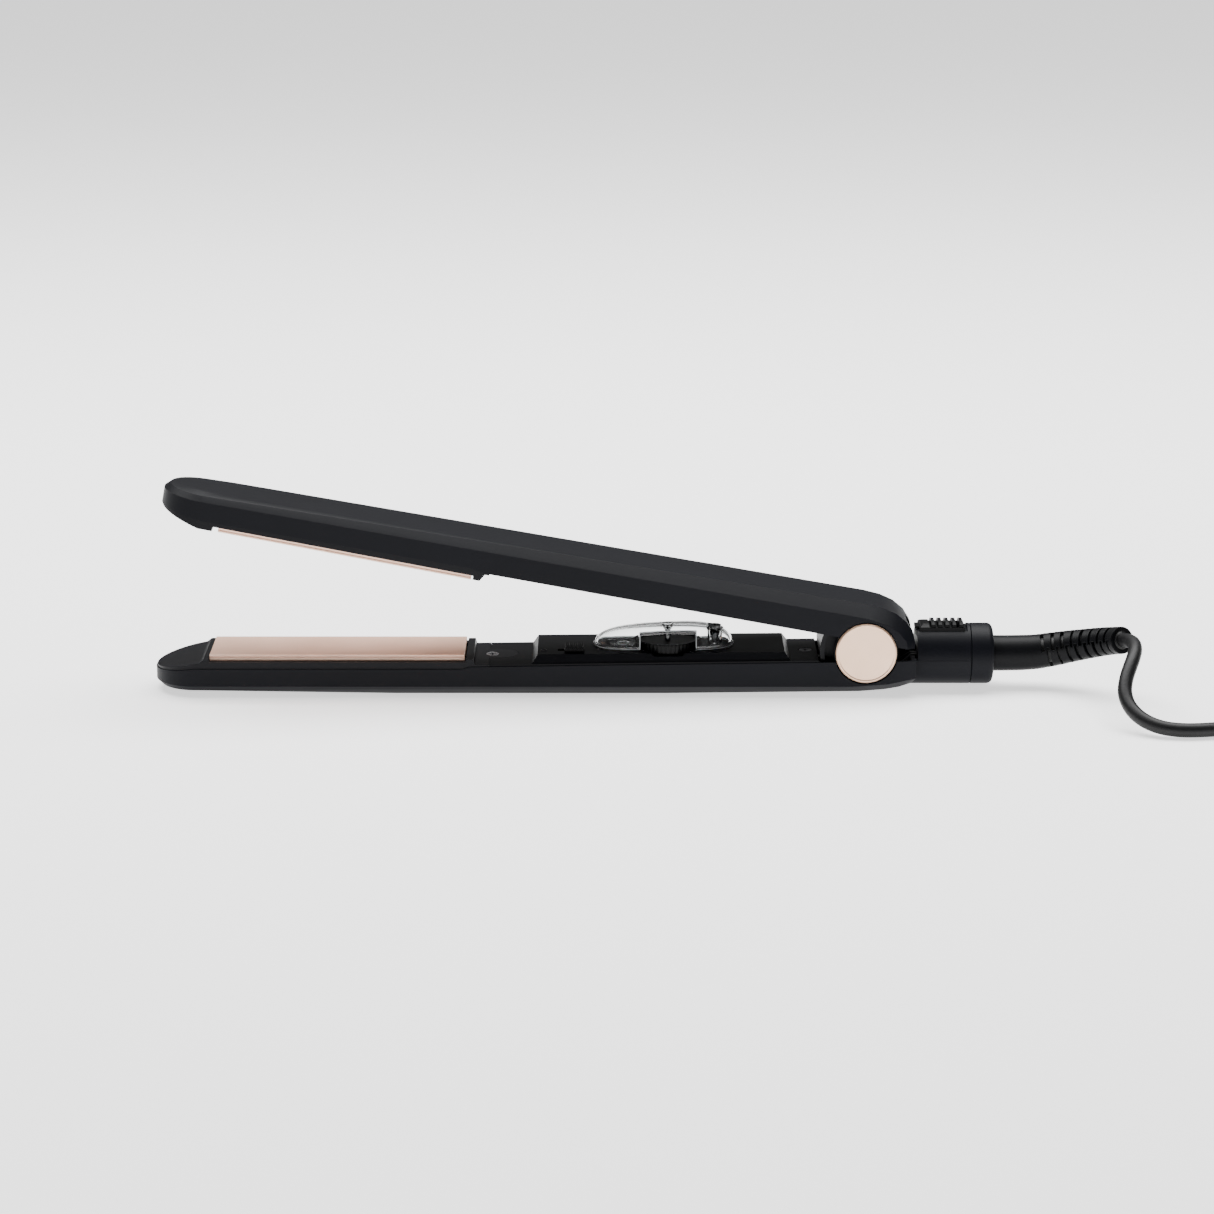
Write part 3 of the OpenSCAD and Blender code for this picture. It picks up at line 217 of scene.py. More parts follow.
def hank_point(radius, height, share):
    """A point of a turn of the hank: along the near run, round the right fold, back and round."""
    run = HANK_RUN
    if share < 0.27:
        return Vector((HANK_X + run * share / 0.27, HANK_Y - radius, height))
    if share < 0.5:
        angle = math.pi * (share - 0.27) / 0.23 - math.pi / 2
        return Vector((HANK_X + run + radius * math.cos(angle), HANK_Y + radius * math.sin(angle), height))
    if share < 0.77:
        return Vector((HANK_X + run * (1 - (share - 0.5) / 0.27), HANK_Y + radius, height))
    angle = math.pi * (share - 0.77) / 0.23 + math.pi / 2
    return Vector((HANK_X + radius * math.cos(angle), HANK_Y + radius * math.sin(angle), height))


def eased(t):
    t = min(1, max(0, t))
    return t * t * (3 - 2 * t)


# each turn lies in one lane and changes to the next lane in a stretch of its own
turns = [("O", 0), ("I", 0), ("I", 1), ("I", 2), ("O", 2), ("O", 1)]
changes = [(0.78, 1.0), (0.68, 0.77), (0.59, 0.68), (0.50, 0.59), (0.28, 0.49), None]
hank_points = []
for k, (lane, level) in enumerate(turns):
    last = 0.27 if changes[k] is None else 1.0
    for i in range(int(60 * last)):
        share = i / 60
        radius, height = LANES[lane], FLOORS[level]
        if changes[k]:
            a, b = changes[k]
            t = eased((share - a) / (b - a))
            next_lane, next_level = turns[k + 1]
            radius += (LANES[next_lane] - radius) * t
            height += (FLOORS[next_level] - height) * t
        hank_points.append(hank_point(radius, height, share))
out_points = [
    (244, -59, -8.2), (251.8, -58, -8.2), (259, -55, -8.2), (265.2, -50.2, -8.5),
    (270, -44, -9.3), (273, -36.8, -9.8), (274, -29, -9.6), (274, -22, -9),
    (274, -16, -8.8), (274, -10, -8.8), (274, -5, -8.8), (274, -2.05, -8.8),
]


def smooth_line(points, step):
    """A Catmull-Rom line through points, resampled every step, in the units of the points."""
    p = [Vector(x) for x in points]
    p = [2 * p[0] - p[1], *p, 2 * p[-1] - p[-2]]
    dense = []
    for a, b, c, d in zip(p, p[1:], p[2:], p[3:]):
        n = max(2, int((c - b).length / step) + 1)
        for i in range(n):
            t = i / n
            dense.append(
                0.5 * (
                    2 * b + (c - a) * t + (
                        2 * a - 5 * b + 4 * c - d
                    ) * t**2 + (3 * b - a - 3 * c + d) * t**3
                )
            )
    dense.append(p[-2])
    return dense


def swept_rings(line, radius_at, columns, up):
    """Rings of points round a line, with no twist, starting from the direction up."""
    rings, side = [], None
    for i, p in enumerate(line):
        ahead = (line[min(i + 1, len(line) - 1)] - line[max(i - 1, 0)]).normalized()
        side = (Vector(up) if side is None else side)
        side = (side - ahead * side.dot(ahead)).normalized()
        other = ahead.cross(side)
        r = radius_at(i)
        rings.append(
            [
                p + r * (math.cos(math.tau * j / columns) * side + math.sin(math.tau * j / columns) * other)
                for j in range(columns)
            ]
        )
    return rings


def mesh_piece(name, points, faces, body, recipe):
    mesh = bpy.data.meshes.new(name)
    mesh.from_pydata([tuple((Vector(p) + AXIS) * MM) for p in points], [], faces)
    joined = bmesh.new()
    joined.from_mesh(mesh)
    bmesh.ops.remove_doubles(joined, verts=joined.verts, dist=0.000004)
    bmesh.ops.recalc_face_normals(joined, faces=joined.faces)
    joined.to_mesh(mesh)
    joined.free()
    for face in mesh.polygons:
        face.use_smooth = True
    mesh.materials.append(recipe.material)
    made = bpy.data.objects.new(name, mesh)
    bpy.context.scene.collection.objects.link(made)
    if body:
        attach(made, body)
    return made


def tube_piece(name, line, radius_at, sides, body, recipe):
    """A closed round tube along a line; radius_at gives its radius at each point."""
    rings = swept_rings(line, radius_at, sides, (0, 0, 1))
    points = [p for ring in rings for p in ring]
    faces = []
    for i in range(len(rings) - 1):
        for j in range(sides):
            k = (j + 1) % sides
            faces.append((i * sides + j, i * sides + k, (i + 1) * sides + k, (i + 1) * sides + j))
    faces += [tuple(range(sides - 1, -1, -1)), tuple(range(len(points) - sides, len(points)))]
    return mesh_piece(name, points, faces, body, recipe)


lead_line = smooth_line([*lead_points, *hank_points, *out_points], 1.5)
lead_length = sum((b - a).length for a, b in zip(lead_line, lead_line[1:]))
print("lead length", round(lead_length, 1), "mm")
jacket = Recipe("lead_jacket", Specular_IOR_Level=0.3)
where = jacket.place()
jacket.feed(
    "Base Color",
    jacket.ramp(
        jacket.cloud(where, 60), [(0.3, (0.0015, 0.0015, 0.0020)), (0.75, (0.0035, 0.0035, 0.0042))]
    )
)
jacket.feed("Roughness", 0.42 + 0.14 * jacket.cloud(where, 160))
jacket.relief(jacket.cloud(where, 900, 2), 0.00006, 0.5)
mains_lead = tube_piece("mains_lead", lead_line, lambda i: LEAD_D / 2, 16, "cord", jacket)
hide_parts("power_cord", "cord_hank", "plug_lead")


# ---------- lower shell ----------
# The trough of the lower arm: injection-moulded, with a soft-touch coat that is dull and very
# finely grained. The tail cover and the upper arm carry the same coat.


def paint(names, recipe):
    """Gives CAD nodes a material in place of the plain one."""
    for name in names:
        mesh = node_of[name].data
        mesh.materials.clear()
        mesh.materials.append(recipe.material)


def soften(name, width, segments=3, angle=28):
    """Rounds the moulded edges of a CAD node and evens out its shading."""
    shown = node_of[name]
    for face in shown.data.polygons:
        face.use_smooth = True
    weld = shown.modifiers.new("weld", "WELD")
    weld.merge_threshold = 0.000002
    flat = shown.modifiers.new("clean", "DECIMATE")
    flat.decimate_type = "DISSOLVE"
    flat.angle_limit = math.radians(0.6)
    if width:
        edge = shown.modifiers.new("edge", "BEVEL")
        edge.width = width * MM
        edge.segments = segments
        edge.limit_method = "ANGLE"
        edge.angle_limit = math.radians(angle)
        edge.miter_outer = "MITER_ARC"
        edge.use_clamp_overlap = True
        edge.harden_normals = False
    even = shown.modifiers.new("even", "WEIGHTED_NORMAL")
    even.keep_sharp = False
    even.weight = 80


def moulded(name, dark, light, rough, grain=1.0, **uniform):
    """Moulded plastic: a fine spark-eroded grain, slight colour drift and faint handling marks."""
    recipe = Recipe(name, **uniform)
    at = recipe.place()
    drift = recipe.cloud(at, 22, 2)
    fine = recipe.cloud(at, 2600, 2, 0.6)
    rub = recipe.cloud(at, 75, 5, 0.65)
    recipe.feed("Base Color", recipe.ramp(drift * 0.7 + rub * 0.3, [(0.32, dark), (0.68, light)]))
    recipe.feed("Roughness", rough - 0.05 + 0.1 * rub)
    recipe.relief(fine, 0.00004, 0.35 * grain)
    return recipe


soft_touch = moulded(
    "soft_touch_black", (0.0012, 0.0015, 0.0032), (0.0022, 0.0026, 0.0050), 0.5, Specular_IOR_Level=0.13
)
soften("lower_shell", 0.55)
paint(["lower_shell"], soft_touch)

# ---------- lower plate frame ----------
# A heat-resistant frame that drops into the mouth of the shell and holds the plate's ends.
frame_resin = moulded(
    "frame_resin", (0.0015, 0.0016, 0.0030), (0.0030, 0.0032, 0.0050), 0.42, Specular_IOR_Level=0.14
)
soften("lower_plate_frame", 0.25, 2)
paint(["lower_plate_frame"], frame_resin)

# ---------- lower heater ----------
# A foil-wrapped heater between a glass-filled tray and the plate, pressed up by a leaf, with a
# thermal fuse and a thermistor beside it. Nothing of it shows.
foil = Recipe("heater_foil", Metallic=0.6, Roughness=0.4)
where = foil.place()
crinkle = foil.cloud(where, 340, 5, 0.7)
foil.feed("Base Color", foil.ramp(crinkle, [(0.3, (0.42, 0.22, 0.05)), (0.7, (0.66, 0.38, 0.11))]))
foil.relief(crinkle, 0.0002, 0.6)
filled_resin = moulded("glass_filled_resin", (0.016, 0.015, 0.014), (0.035, 0.033, 0.03), 0.72, 1.6)
spring_steel = Recipe("spring_steel", Metallic=1.0, Roughness=0.34)
where = spring_steel.place()
drawn = spring_steel.cloud(
    spring_steel.node("ShaderNodeMapping", {}, {"Vector": where, "Scale": (40, 900, 900)}), 1.0, 2
)
spring_steel.feed(
    "Base Color", spring_steel.ramp(drawn, [(0.3, (0.40, 0.41, 0.42)), (0.7, (0.60, 0.61, 0.62))])
)
spring_steel.feed("Roughness", 0.26 + 0.18 * drawn)
paint(["lower_heater"], foil)
paint(["lower_carrier", "thermal_fuse", "thermistor"], filled_resin)
paint(["lower_heater_clip"], spring_steel)

# ---------- lower plate ----------
# An extruded aluminium plate with stepped long edges, under a satin ceramic coat of rose gold
# with a very fine sparkle.


def ceramic(name):
    recipe = Recipe(name, Metallic=0.35)
    at = recipe.place()
    spark = recipe.node("ShaderNodeTexVoronoi", {"feature": "F1"}, {"Vector": at, "Scale": 5200.0}, "Color")
    fleck = recipe.node("ShaderNodeSeparateColor", {}, {0: spark}, 0)
    cloudy = recipe.cloud(at, 35, 3)
    base = recipe.ramp(cloudy, [(0.3, (0.88, 0.58, 0.44)), (0.7, (0.94, 0.64, 0.50))])
    recipe.feed("Base Color", recipe.mix((fleck > 0.93) * 0.35, base, (0.92, 0.78, 0.68, 1)))
    recipe.feed("Roughness", 0.33 + 0.08 * cloudy)
    recipe.relief(recipe.cloud(at, 1500, 2), 0.00003, 0.3)
    return recipe


plate_coat = ceramic("ceramic_rose")
soften("lower_plate", 0.3, 3)
paint(["lower_plate"], plate_coat)

# ---------- circuit board ----------
# A green glass-fibre board under the control cover, with its parts, the potentiometer of the
# wheel, the body of the slide switch and their wires. It is closed in.
board = Recipe("board_green", Roughness=0.4)
where = board.place()
weave = board.node(
    "ShaderNodeTexBrick", {},
    {
        "Vector": where, "Scale": 900.0, "Color1": (0.012, 0.09, 0.03, 1), "Color2": (0.016, 0.11, 0.04, 1),
        "Mortar": (0.03, 0.16, 0.06, 1)
    }
)
board.feed("Base Color", weave)
board.feed("Roughness", 0.3 + 0.2 * board.cloud(where, 200))
component = moulded("component_case", (0.012, 0.011, 0.011), (0.05, 0.045, 0.04), 0.5)
insulation = Recipe("wire_insulation", Roughness=0.55)
where = insulation.place()
insulation.feed(
    "Base Color",
    insulation.ramp(insulation.cloud(where, 90), [(0.3, (0.24, 0.012, 0.01)), (0.7, (0.36, 0.025, 0.02))])
)
insulation.feed("Roughness", 0.45 + 0.2 * insulation.cloud(where, 300))
paint(["circuit_board"], board)
paint(["board_parts", "dial_potentiometer", "switch_body"], component)
silicone = moulded(
    "silicone_black", (0.004, 0.004, 0.004), (0.007, 0.007, 0.0075), 0.6, Specular_IOR_Level=0.15
)
paint(["lower_wires", "upper_wires"], insulation)
paint(["supply_wires", "hinge_leads"], silicone)

# ---------- control cover ----------
# The lid over the board, with a raised island that holds the switch and the wheel. Its top is
# smoother than the coat of the arms, so it shines a little.
cover_coat = moulded(
    "cover_satin_black", (0.0012, 0.0013, 0.0022), (0.0024, 0.0026, 0.0036), 0.42, 0.8,
    Specular_IOR_Level=0.1
)
soften("control_cover", 0.35)
paint(["control_cover"], cover_coat)


# ---------- cover screws ----------
# Blackened cross-head screws with countersunk heads. Two hold each cover to the bosses of its
# shell, and a smaller one goes down the post of the lens.
screw_black = Recipe("blackened_steel", Metallic=0.9)
where = screw_black.place()
turned = screw_black.cloud(where, 700, 3)
screw_black.feed(
    "Base Color", screw_black.ramp(turned, [(0.3, (0.10, 0.10, 0.105)), (0.75, (0.24, 0.24, 0.25))])
)
screw_black.feed("Roughness", 0.30 + 0.2 * turned)
for name in ("lower_cover_screws", "upper_cover_screws", "lens_screw"):
    soften(name, 0.08, 2)
paint(["lower_cover_screws", "upper_cover_screws", "lens_screw"], screw_black)

# ---------- indicator lamp ----------
# A small clear red lamp, unlit, in an oval recess of the cover behind the nose of the lens.
# Its legs are soldered to the board below.
lamp_red = Recipe("lamp_red", Transmission_Weight=0.5, Coat_Weight=0.6, IOR=1.5)
where = lamp_red.place()
lamp_red.feed(
    "Base Color",
    lamp_red.ramp(lamp_red.cloud(where, 500), [(0.3, (0.10, 0.008, 0.008)), (0.7, (0.16, 0.014, 0.012))])
)
lamp_red.feed("Roughness", 0.12 + 0.1 * lamp_red.cloud(where, 300))
paint(["indicator_led"], lamp_red)

# ---------- temperature wheel ----------
# A moulded black wheel with a toothed rim, turned with a fingertip under the lens. Its spindle
# drives the potentiometer on the board.
wheel_black = moulded(
    "wheel_black", (0.0008, 0.0008, 0.0010), (0.0018, 0.0018, 0.0022), 0.34, 0.5, Specular_IOR_Level=0.12
)
soften("dial_wheel", 0.12, 2, 35)
soften("dial_spindle", 0.1, 2)
paint(["dial_wheel", "dial_spindle"], wheel_black)

# ---------- switch knob ----------
# The moulded, ribbed knob of the slide switch. It stands through a slot in the cover and snaps
# on the lever of the switch body.
soften("switch_knob", 0.15, 2)
knob_black = moulded(
    "knob_black", (0.0010, 0.0010, 0.0014), (0.0020, 0.0020, 0.0026), 0.42, 0.8, Specular_IOR_Level=0.1
)
paint(["switch_knob"], knob_black)

# ---------- lens ----------
# A clear leaf-shaped dome over the wheel, 1.1 mm thick, with an opening in front for the
# fingertip. A hollow post takes its screw and a funnel holds the wheel's spindle down.
LENS_START, LENS_SEAT, DIAL_X, POST_X = -96.0, -0.17, -69.7, -53.0
CREST = [
    (0, 0.0), (0.5, 1.4), (1.3, 2.5), (3, 3.6), (6.3, 4.9), (9.6, 5.65), (13.8, 6.3), (18, 6.85), (24.6, 7.35),
    (31.2, 7.6), (34.5, 7.6), (38.7, 7.35), (42.8, 6.7), (46.1, 5.3), (47.8, 4.0), (49, 2.5), (49.7, 0.0),
]
PLAN = [
    (0, 0.0), (0.4, 2.6), (0.9, 4.0), (2.2, 6.2), (4.7, 8.2), (8, 9.2), (12, 9.7), (16, 9.8), (36, 9.8),
    (41, 9.3), (45, 7.8), (47.5, 5.7), (49, 3.3), (49.7, 0.0),
]
CUT_HALF, CUT_BACK = 9.95, -6.6
LENS_LONG, LENS_WALL = CREST[-1][0], 1.1
LENS_HALF, LENS_TALL, SIDE_CURVE = 9.8, 7.6, 0.87


def looked_up(table, x):
    """A value between the rows of a table of (x, value), on the straight line between two rows."""
    for (x0, y0), (x1, y1) in zip(table, table[1:]):
        if x <= x1:
            return y0 + (y1 - y0) * (x - x0) / (x1 - x0)
    return table[-1][1]


def softened(table, x):
    return sum(
        looked_up(table, min(LENS_LONG, max(0, x + d * min(x, LENS_LONG - x, 3) * 0.45)))
        for d in (-1, -0.5, 0, 0.5, 1)
    ) / 5


def dome_point(along, turn, inset=0.0):
    """A point of the dome: turn runs from 0 at the near rim over the crest to 1 at the far rim."""
    wide, tall = softened(PLAN, along), softened(CREST, along)
    c, q = math.cos(math.pi * turn), math.sin(math.pi * turn)
    y = -wide * math.copysign(abs(c) ** SIDE_CURVE, c) * (1 - inset / LENS_HALF)
    z = tall * max(0.0, q) ** SIDE_CURVE * (1 - inset / LENS_TALL)
    return Vector((LENS_START + inset + along * (LENS_LONG - 2 * inset) / LENS_LONG, y, LENS_SEAT + z))


U, V = 64, 40
alongs = [LENS_LONG * (1 - math.cos(math.pi * i / U)) / 2 for i in range(U + 1)]
points = [dome_point(a, j / V, inset) for inset in (0.0, LENS_WALL) for a in alongs for j in range(V + 1)]
faces = []
shell = (U + 1) * (V + 1)
for i in range(U):
    for j in range(V):
        a = i * (V + 1) + j
        b = a + V + 1
        faces.append((a, b, b + 1, a + 1))
        faces.append((shell + a, shell + a + 1, shell + b + 1, shell + b))
    for j, flip in ((0, False), (V, True)):
        a = i * (V + 1) + j
        b = a + V + 1
        rim = (a, shell + a, shell + b, b)
        faces.append(rim[::-1] if flip else rim)
clear = Recipe("clear_lens", Transmission_Weight=1.0, IOR=1.46)
where = clear.place()
clear.feed(
    "Base Color",
    clear.ramp(clear.cloud(where, 30), [(0.3, (0.97, 0.985, 0.99)), (0.7, (0.99, 0.995, 0.995))])
)
clear.feed("Roughness", 0.01 + 0.03 * clear.cloud(where, 120))


def turned_piece(name, centre, profile, body, recipe, sides=48, axis="z"):
    """A turned piece: profile is a closed outline of (radius, height) round the axis."""
    points, faces, n = [], [], len(profile)
    for i in range(sides):
        a = math.tau * i / sides
        for r, h in profile:
            if axis == "z":
                points.append(Vector(centre) + Vector((r * math.cos(a), r * math.sin(a), h)))
            else:
                points.append(Vector(centre) + Vector((r * math.cos(a), h, r * math.sin(a))))
        for j in range(n):
            faces.append(
                (i * n + j, i * n + (j + 1) % n, (i + 1) % sides * n + (j + 1) % n, (i + 1) % sides * n + j)
            )
    return mesh_piece(name, points, faces, body, recipe)


def cut_away(target, cutters):
    """Cuts closed meshes out of a piece and keeps the result as its mesh."""
    for cutter in cutters:
        cut = target.modifiers.new("cut", "BOOLEAN")
        cut.operation = "DIFFERENCE"
        cut.solver = "EXACT"
        cut.object = cutter
    bpy.context.view_layer.update()
    done = bpy.data.meshes.new_from_object(target.evaluated_get(bpy.context.evaluated_depsgraph_get()))
    target.modifiers.clear()
    target.data = done
    for cutter in cutters:
        bpy.data.objects.remove(cutter)


def box_faces():
    return [(0, 1, 3, 2), (4, 6, 7, 5), (0, 4, 5, 1), (2, 3, 7, 6), (0, 2, 6, 4), (1, 5, 7, 3)]


def box_points(x0, x1, y0, y1, z0, z1):
    return [Vector((x, y, z)) for x in (x0, x1) for y in (y0, y1) for z in (z0, z1)]


lens_dome = mesh_piece("lens_dome", points, faces, "lower_arm", clear)
cut_away(lens_dome, [
    mesh_piece(
        "front_cut", box_points(DIAL_X - CUT_HALF, DIAL_X + CUT_HALF, -15, CUT_BACK, -2, 9), box_faces(),
        None, clear
    ),
    turned_piece(
        "screw_cut", (POST_X, 0, 0), [(0.001, 4.7), (2.7, 4.7), (2.7, 9), (0.001, 9)], None, clear
    ),
])
edge = lens_dome.modifiers.new("edge", "BEVEL")
edge.width = 0.12 * MM
edge.segments = 2
edge.limit_method = "ANGLE"
edge.angle_limit = math.radians(50)
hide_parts("dial_lens")
turned_piece(
    "lens_post", (POST_X, 0, 0),
    [(1.35, 0.0), (2.5, 0.0), (2.6, 4.4), (3.1, 5.2), (3.1, 5.6), (2.65, 5.6), (2.45, 4.75), (1.35, 4.75)],
    "lower_arm", clear
)
turned_piece(
    "lens_funnel", (DIAL_X, 0, 0),
    [
        (0.001, 1.25), (0.9, 1.25), (0.95, 4.4), (1.3, 5.0), (2.1, 6.0), (2.1, 6.75), (1.8, 6.75),
        (1.7, 6.2), (0.001, 4.9)
    ],
    "lower_arm", clear
)

# a pale tube along the rim of the lens paints the highlight of its edge catching the light, and shows as a
# pale line
pale_ring_and_rim_highlight = Recipe("pale_ring_and_painted_rim_highlight", Transmission_Weight=0.55, IOR=1.46)
where = pale_ring_and_rim_highlight.place()
pale_ring_and_rim_highlight.feed(
    "Base Color",
    pale_ring_and_rim_highlight.ramp(pale_ring_and_rim_highlight.cloud(where, 200), [(0.3, (0.80, 0.83, 0.85)), (0.7, (0.90, 0.92, 0.93))])
)
pale_ring_and_rim_highlight.feed("Roughness", 0.3 + 0.2 * pale_ring_and_rim_highlight.cloud(where, 700))
cut_left, cut_right = DIAL_X - CUT_HALF - LENS_START, DIAL_X + CUT_HALF - LENS_START
back_turn = 0.5 - math.asin((-CUT_BACK / LENS_HALF) ** (1 / SIDE_CURVE)) / math.pi
rim_line = [dome_point(cut_left * (1 - i / 30) ** 2, 0) for i in range(31)]
rim_line += [dome_point(LENS_LONG * (1 - math.cos(math.pi * i / 80)) / 2, 1) for i in range(1, 81)]
rim_line += [dome_point(LENS_LONG - (LENS_LONG - cut_right) * (i / 30) ** 2, 0) for i in range(1, 31)]
rim_line += [dome_point(cut_right, back_turn * i / 10) for i in range(1, 11)]
rim_line += [dome_point(cut_right + (cut_left - cut_right) * i / 24, back_turn) for i in range(1, 25)]
rim_line += [dome_point(cut_left, back_turn * (1 - i / 10)) for i in range(1, 11)]
rim_line = [p + Vector((0, 0, 0.2)) for p in rim_line]
rim_line = [p for i, p in enumerate(rim_line) if i == 0 or (p - rim_line[i - 1]).length > 0.02]
# the pale tube on the rim is a painted highlight, not a frosted edge
tube_piece("lens_rim_highlight", rim_line, lambda i: 0.21, 8, "lower_arm", pale_ring_and_rim_highlight)

# the lamp stands in a shallow glossy cup with a pale ring
LAMP_X = -85.7
cup_black = moulded("cup_black", (0.002, 0.002, 0.003), (0.004, 0.004, 0.005), 0.15, 0.3)
turned_piece(
    "lamp_cup", (LAMP_X, 0, -0.55),
    [(2.1, 0.0), (4.5, 0.0), (4.7, 0.12), (4.5, 0.22), (4.2, 0.1), (2.1, 0.06)], "lower_arm", cup_black,
)
turned_piece(
    "lamp_ring", (LAMP_X, 0, -0.5), [(1.56, 0.0), (2.1, 0.0), (2.15, 0.3), (1.9, 0.45), (1.6, 0.4)],
    "lower_arm", pale_ring_and_rim_highlight
)

# ---------- rims of the cover screws ----------
# A ring of lighter steel round the outer rim of each cover screw's head paints the highlight where the light
# catches that rim. It is part of the screw and sits just below the face of the cover.


def lumps(name):
    """The points of a CAD node in mm from the hinge axis, in two groups: nose side and tail side."""
    shown = node_of[name]
    places = [shown.matrix_world @ v.co / MM - AXIS for v in shown.data.vertices]
    middle = (min(p.x for p in places) + max(p.x for p in places)) / 2
    return [[p for p in places if p.x < middle], [p for p in places if p.x >= middle]]


# the screw steel made lighter: a painted highlight for the rims of the screw heads
rim_highlight_steel = Recipe("rim_highlight_steel", Metallic=0.9)
where = rim_highlight_steel.place()
rim_highlight_steel.feed(
    "Base Color",
    rim_highlight_steel.ramp(rim_highlight_steel.cloud(where, 700), [(0.3, (0.20, 0.20, 0.21)), (0.7, (0.34, 0.34, 0.35))])
)
rim_highlight_steel.feed("Roughness", 0.3 + 0.15 * rim_highlight_steel.cloud(where, 500))
for where_at, head in zip(("front", "rear"), lumps("lower_cover_screws")):
    centre = (min(p.x for p in head) + max(p.x for p in head)) / 2
    top = max(p.z for p in head)
    rim = [(1.95, -0.02), (2.25, -0.02), (2.25, 0.05), (2.15, 0.08), (1.95, 0.06)]
    turned_piece(f"screw_rim_highlight_{where_at}", (centre, 0, top), rim, "lower_arm", rim_highlight_steel, 40)

# ---------- hinge ----------
# Two ears on the lower arm and a knuckle on the upper one turn on a steel pin. A wound spring
# holds the arms open, and a satin champagne cap closes each end.
soften("lower_hinge_block", 0.2, 2)
soften("upper_hinge_block", 0.2, 2)
paint(["lower_hinge_block", "upper_hinge_block"], frame_resin)
paint(["hinge_pin", "hinge_spring", "upper_heater_clip"], spring_steel)
cap_gold = Recipe("cap_champagne", Metallic=0.85)
where = cap_gold.place()
cap_gold.feed(
    "Base Color",
    cap_gold.ramp(cap_gold.cloud(where, 60, 3), [(0.3, (0.86, 0.58, 0.41)), (0.7, (0.92, 0.64, 0.47))])
)
cap_gold.feed("Roughness", 0.36 + 0.08 * cap_gold.cloud(where, 300))
cap_gold.relief(cap_gold.cloud(where, 2200, 2), 0.00002, 0.3)
soften("hinge_caps", 0.45, 4)
paint(["hinge_caps"], cap_gold)
for side in (-1, 1):
    ring = [(10.86, 13.0), (11.22, 13.0), (11.22, 14.3), (10.86, 14.3)]
    turned_piece(
        f"cap_seal_{'near' if side < 0 else 'far'}", (0, 0, 0), [(r, side * h) for r, h in ring],
        "lower_arm", wheel_black, 96, "y"
    )

# ---------- upper arm ----------
# The upper shell with its flat crown and bevelled sides, the frame round its plate and the inner
# cover with the hollow that clears the lens.
soften("upper_shell", 0.55)
soften("upper_cover", 0.3)
soften("upper_plate_frame", 0.25, 2)
paint(["upper_shell", "upper_cover"], soft_touch)
paint(["upper_plate_frame"], frame_resin)

# ---------- floating plate ----------
# The upper plate, its tray and its heater give a little under pressure. Two coils of spring
# steel between the tray and the crown of the arm push them out again.
soften("upper_plate", 0.3, 3)
paint(["upper_plate"], plate_coat)
paint(["upper_carrier"], filled_resin)
paint(["upper_heater"], foil)
FLOAT_AXIS = Vector((0.190809, 0, 0.981627))
FLOAT_TRAVEL, COIL_R, COIL_WIRE = 0.8, 2.4, 0.35
for where_at, coil in zip(("front", "rear"), lumps("float_springs")):
    low = min(p.dot(FLOAT_AXIS) for p in coil) + COIL_WIRE
    high = max(p.dot(FLOAT_AXIS) for p in coil) - COIL_WIRE
    across = Vector((FLOAT_AXIS.z, 0, -FLOAT_AXIS.x))
    off = (min(p.dot(across) for p in coil) + max(p.dot(across) for p in coil)) / 2
    winding = []
    for i in range(109):
        a = math.radians(i * 10)
        rise = low + (high - low) * i / 108
        winding.append(
            across * (off + COIL_R * math.cos(a)) + Vector((0, COIL_R * math.sin(a), 0)) + FLOAT_AXIS * rise
        )
    spring = tube_piece(
        f"float_spring_{where_at}", winding, lambda i: COIL_WIRE, 10, "upper_arm", spring_steel
    )
    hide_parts("float_springs")
    seat = across * off + FLOAT_AXIS * (high + COIL_WIRE)
    kept = 1 - FLOAT_TRAVEL / (high - low + 2 * COIL_WIRE)
    tuple((seat + AXIS) * MM)
    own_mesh(spring)

# ---------- tail ----------
# The tail cover closes the barrel. Behind it the collar and the bush hold the swivel, whose two
# rings run on sprung contacts.
soften("tail_cover", 0.4)
soften("swivel_collar", 0.4)
paint(["tail_cover", "swivel_collar"], soft_touch)
paint(["swivel_bush", "swivel_rotor"], frame_resin)
ring_brass = Recipe("ring_brass", Metallic=1.0)
where = ring_brass.place()
ring_brass.feed(
    "Base Color",
    ring_brass.ramp(ring_brass.cloud(where, 150), [(0.3, (0.55, 0.38, 0.14)), (0.7, (0.68, 0.49, 0.2))])
)
ring_brass.feed("Roughness", 0.25 + 0.15 * ring_brass.cloud(where, 400))
paint(["slip_rings", "brush_contacts"], ring_brass)

# ---------- switch marks ----------
# A raised ring and a raised bar, one at each end of the switch slot, stand for off and on. They
# are moulded with the cover.
mark_grey = moulded("mark_grey", (0.075, 0.077, 0.082), (0.115, 0.118, 0.125), 0.45, 0.6)


def mark_height(x):
    return 0.15 + 0.0082 * x


turned_piece(
    "mark_off", (-113.6, -7.3, mark_height(-113.6)), [(0.75, 0.0), (1.15, 0.0), (1.1, 0.12), (0.8, 0.12)],
    "lower_arm", mark_grey, 40
)
bar = mesh_piece(
    "mark_on", box_points(-94.6, -94.15, -8.5, -6.1, mark_height(-94.4) - 0.02, mark_height(-94.4) + 0.12),
    box_faces(), "lower_arm", mark_grey
)
edge = bar.modifiers.new("edge", "BEVEL")
edge.width = 0.05 * MM
edge.segments = 2

# ---------- arm lock ----------
# A moulded slider with five ribs that keeps the arms shut in a bag. It is captive in a recess
# of the tail cover.
soften("lock_slider", 0.2, 2)
paint(["lock_slider"], knob_black)

# ---------- cord guard ----------
# A tapering rubber sleeve, moulded on the lead, with two staggered rows of slots that let it bend.
GUARD_OUT = [(0, 6.35), (12, 6.3), (24, 6.05), (36, 5.4), (48, 4.9), (60, 4.7)]


guard_line = smooth_line(guard_points, 0.45)
guard_far = [0.0]
for a, b in zip(guard_line, guard_line[1:]):
    guard_far.append(guard_far[-1] + (b - a).length)
guard_end = guard_far[-1]
SLOT_START, SLOT_PITCH, SLOT_LONG, COLUMNS = 20.0, 4.0, 1.1, 96


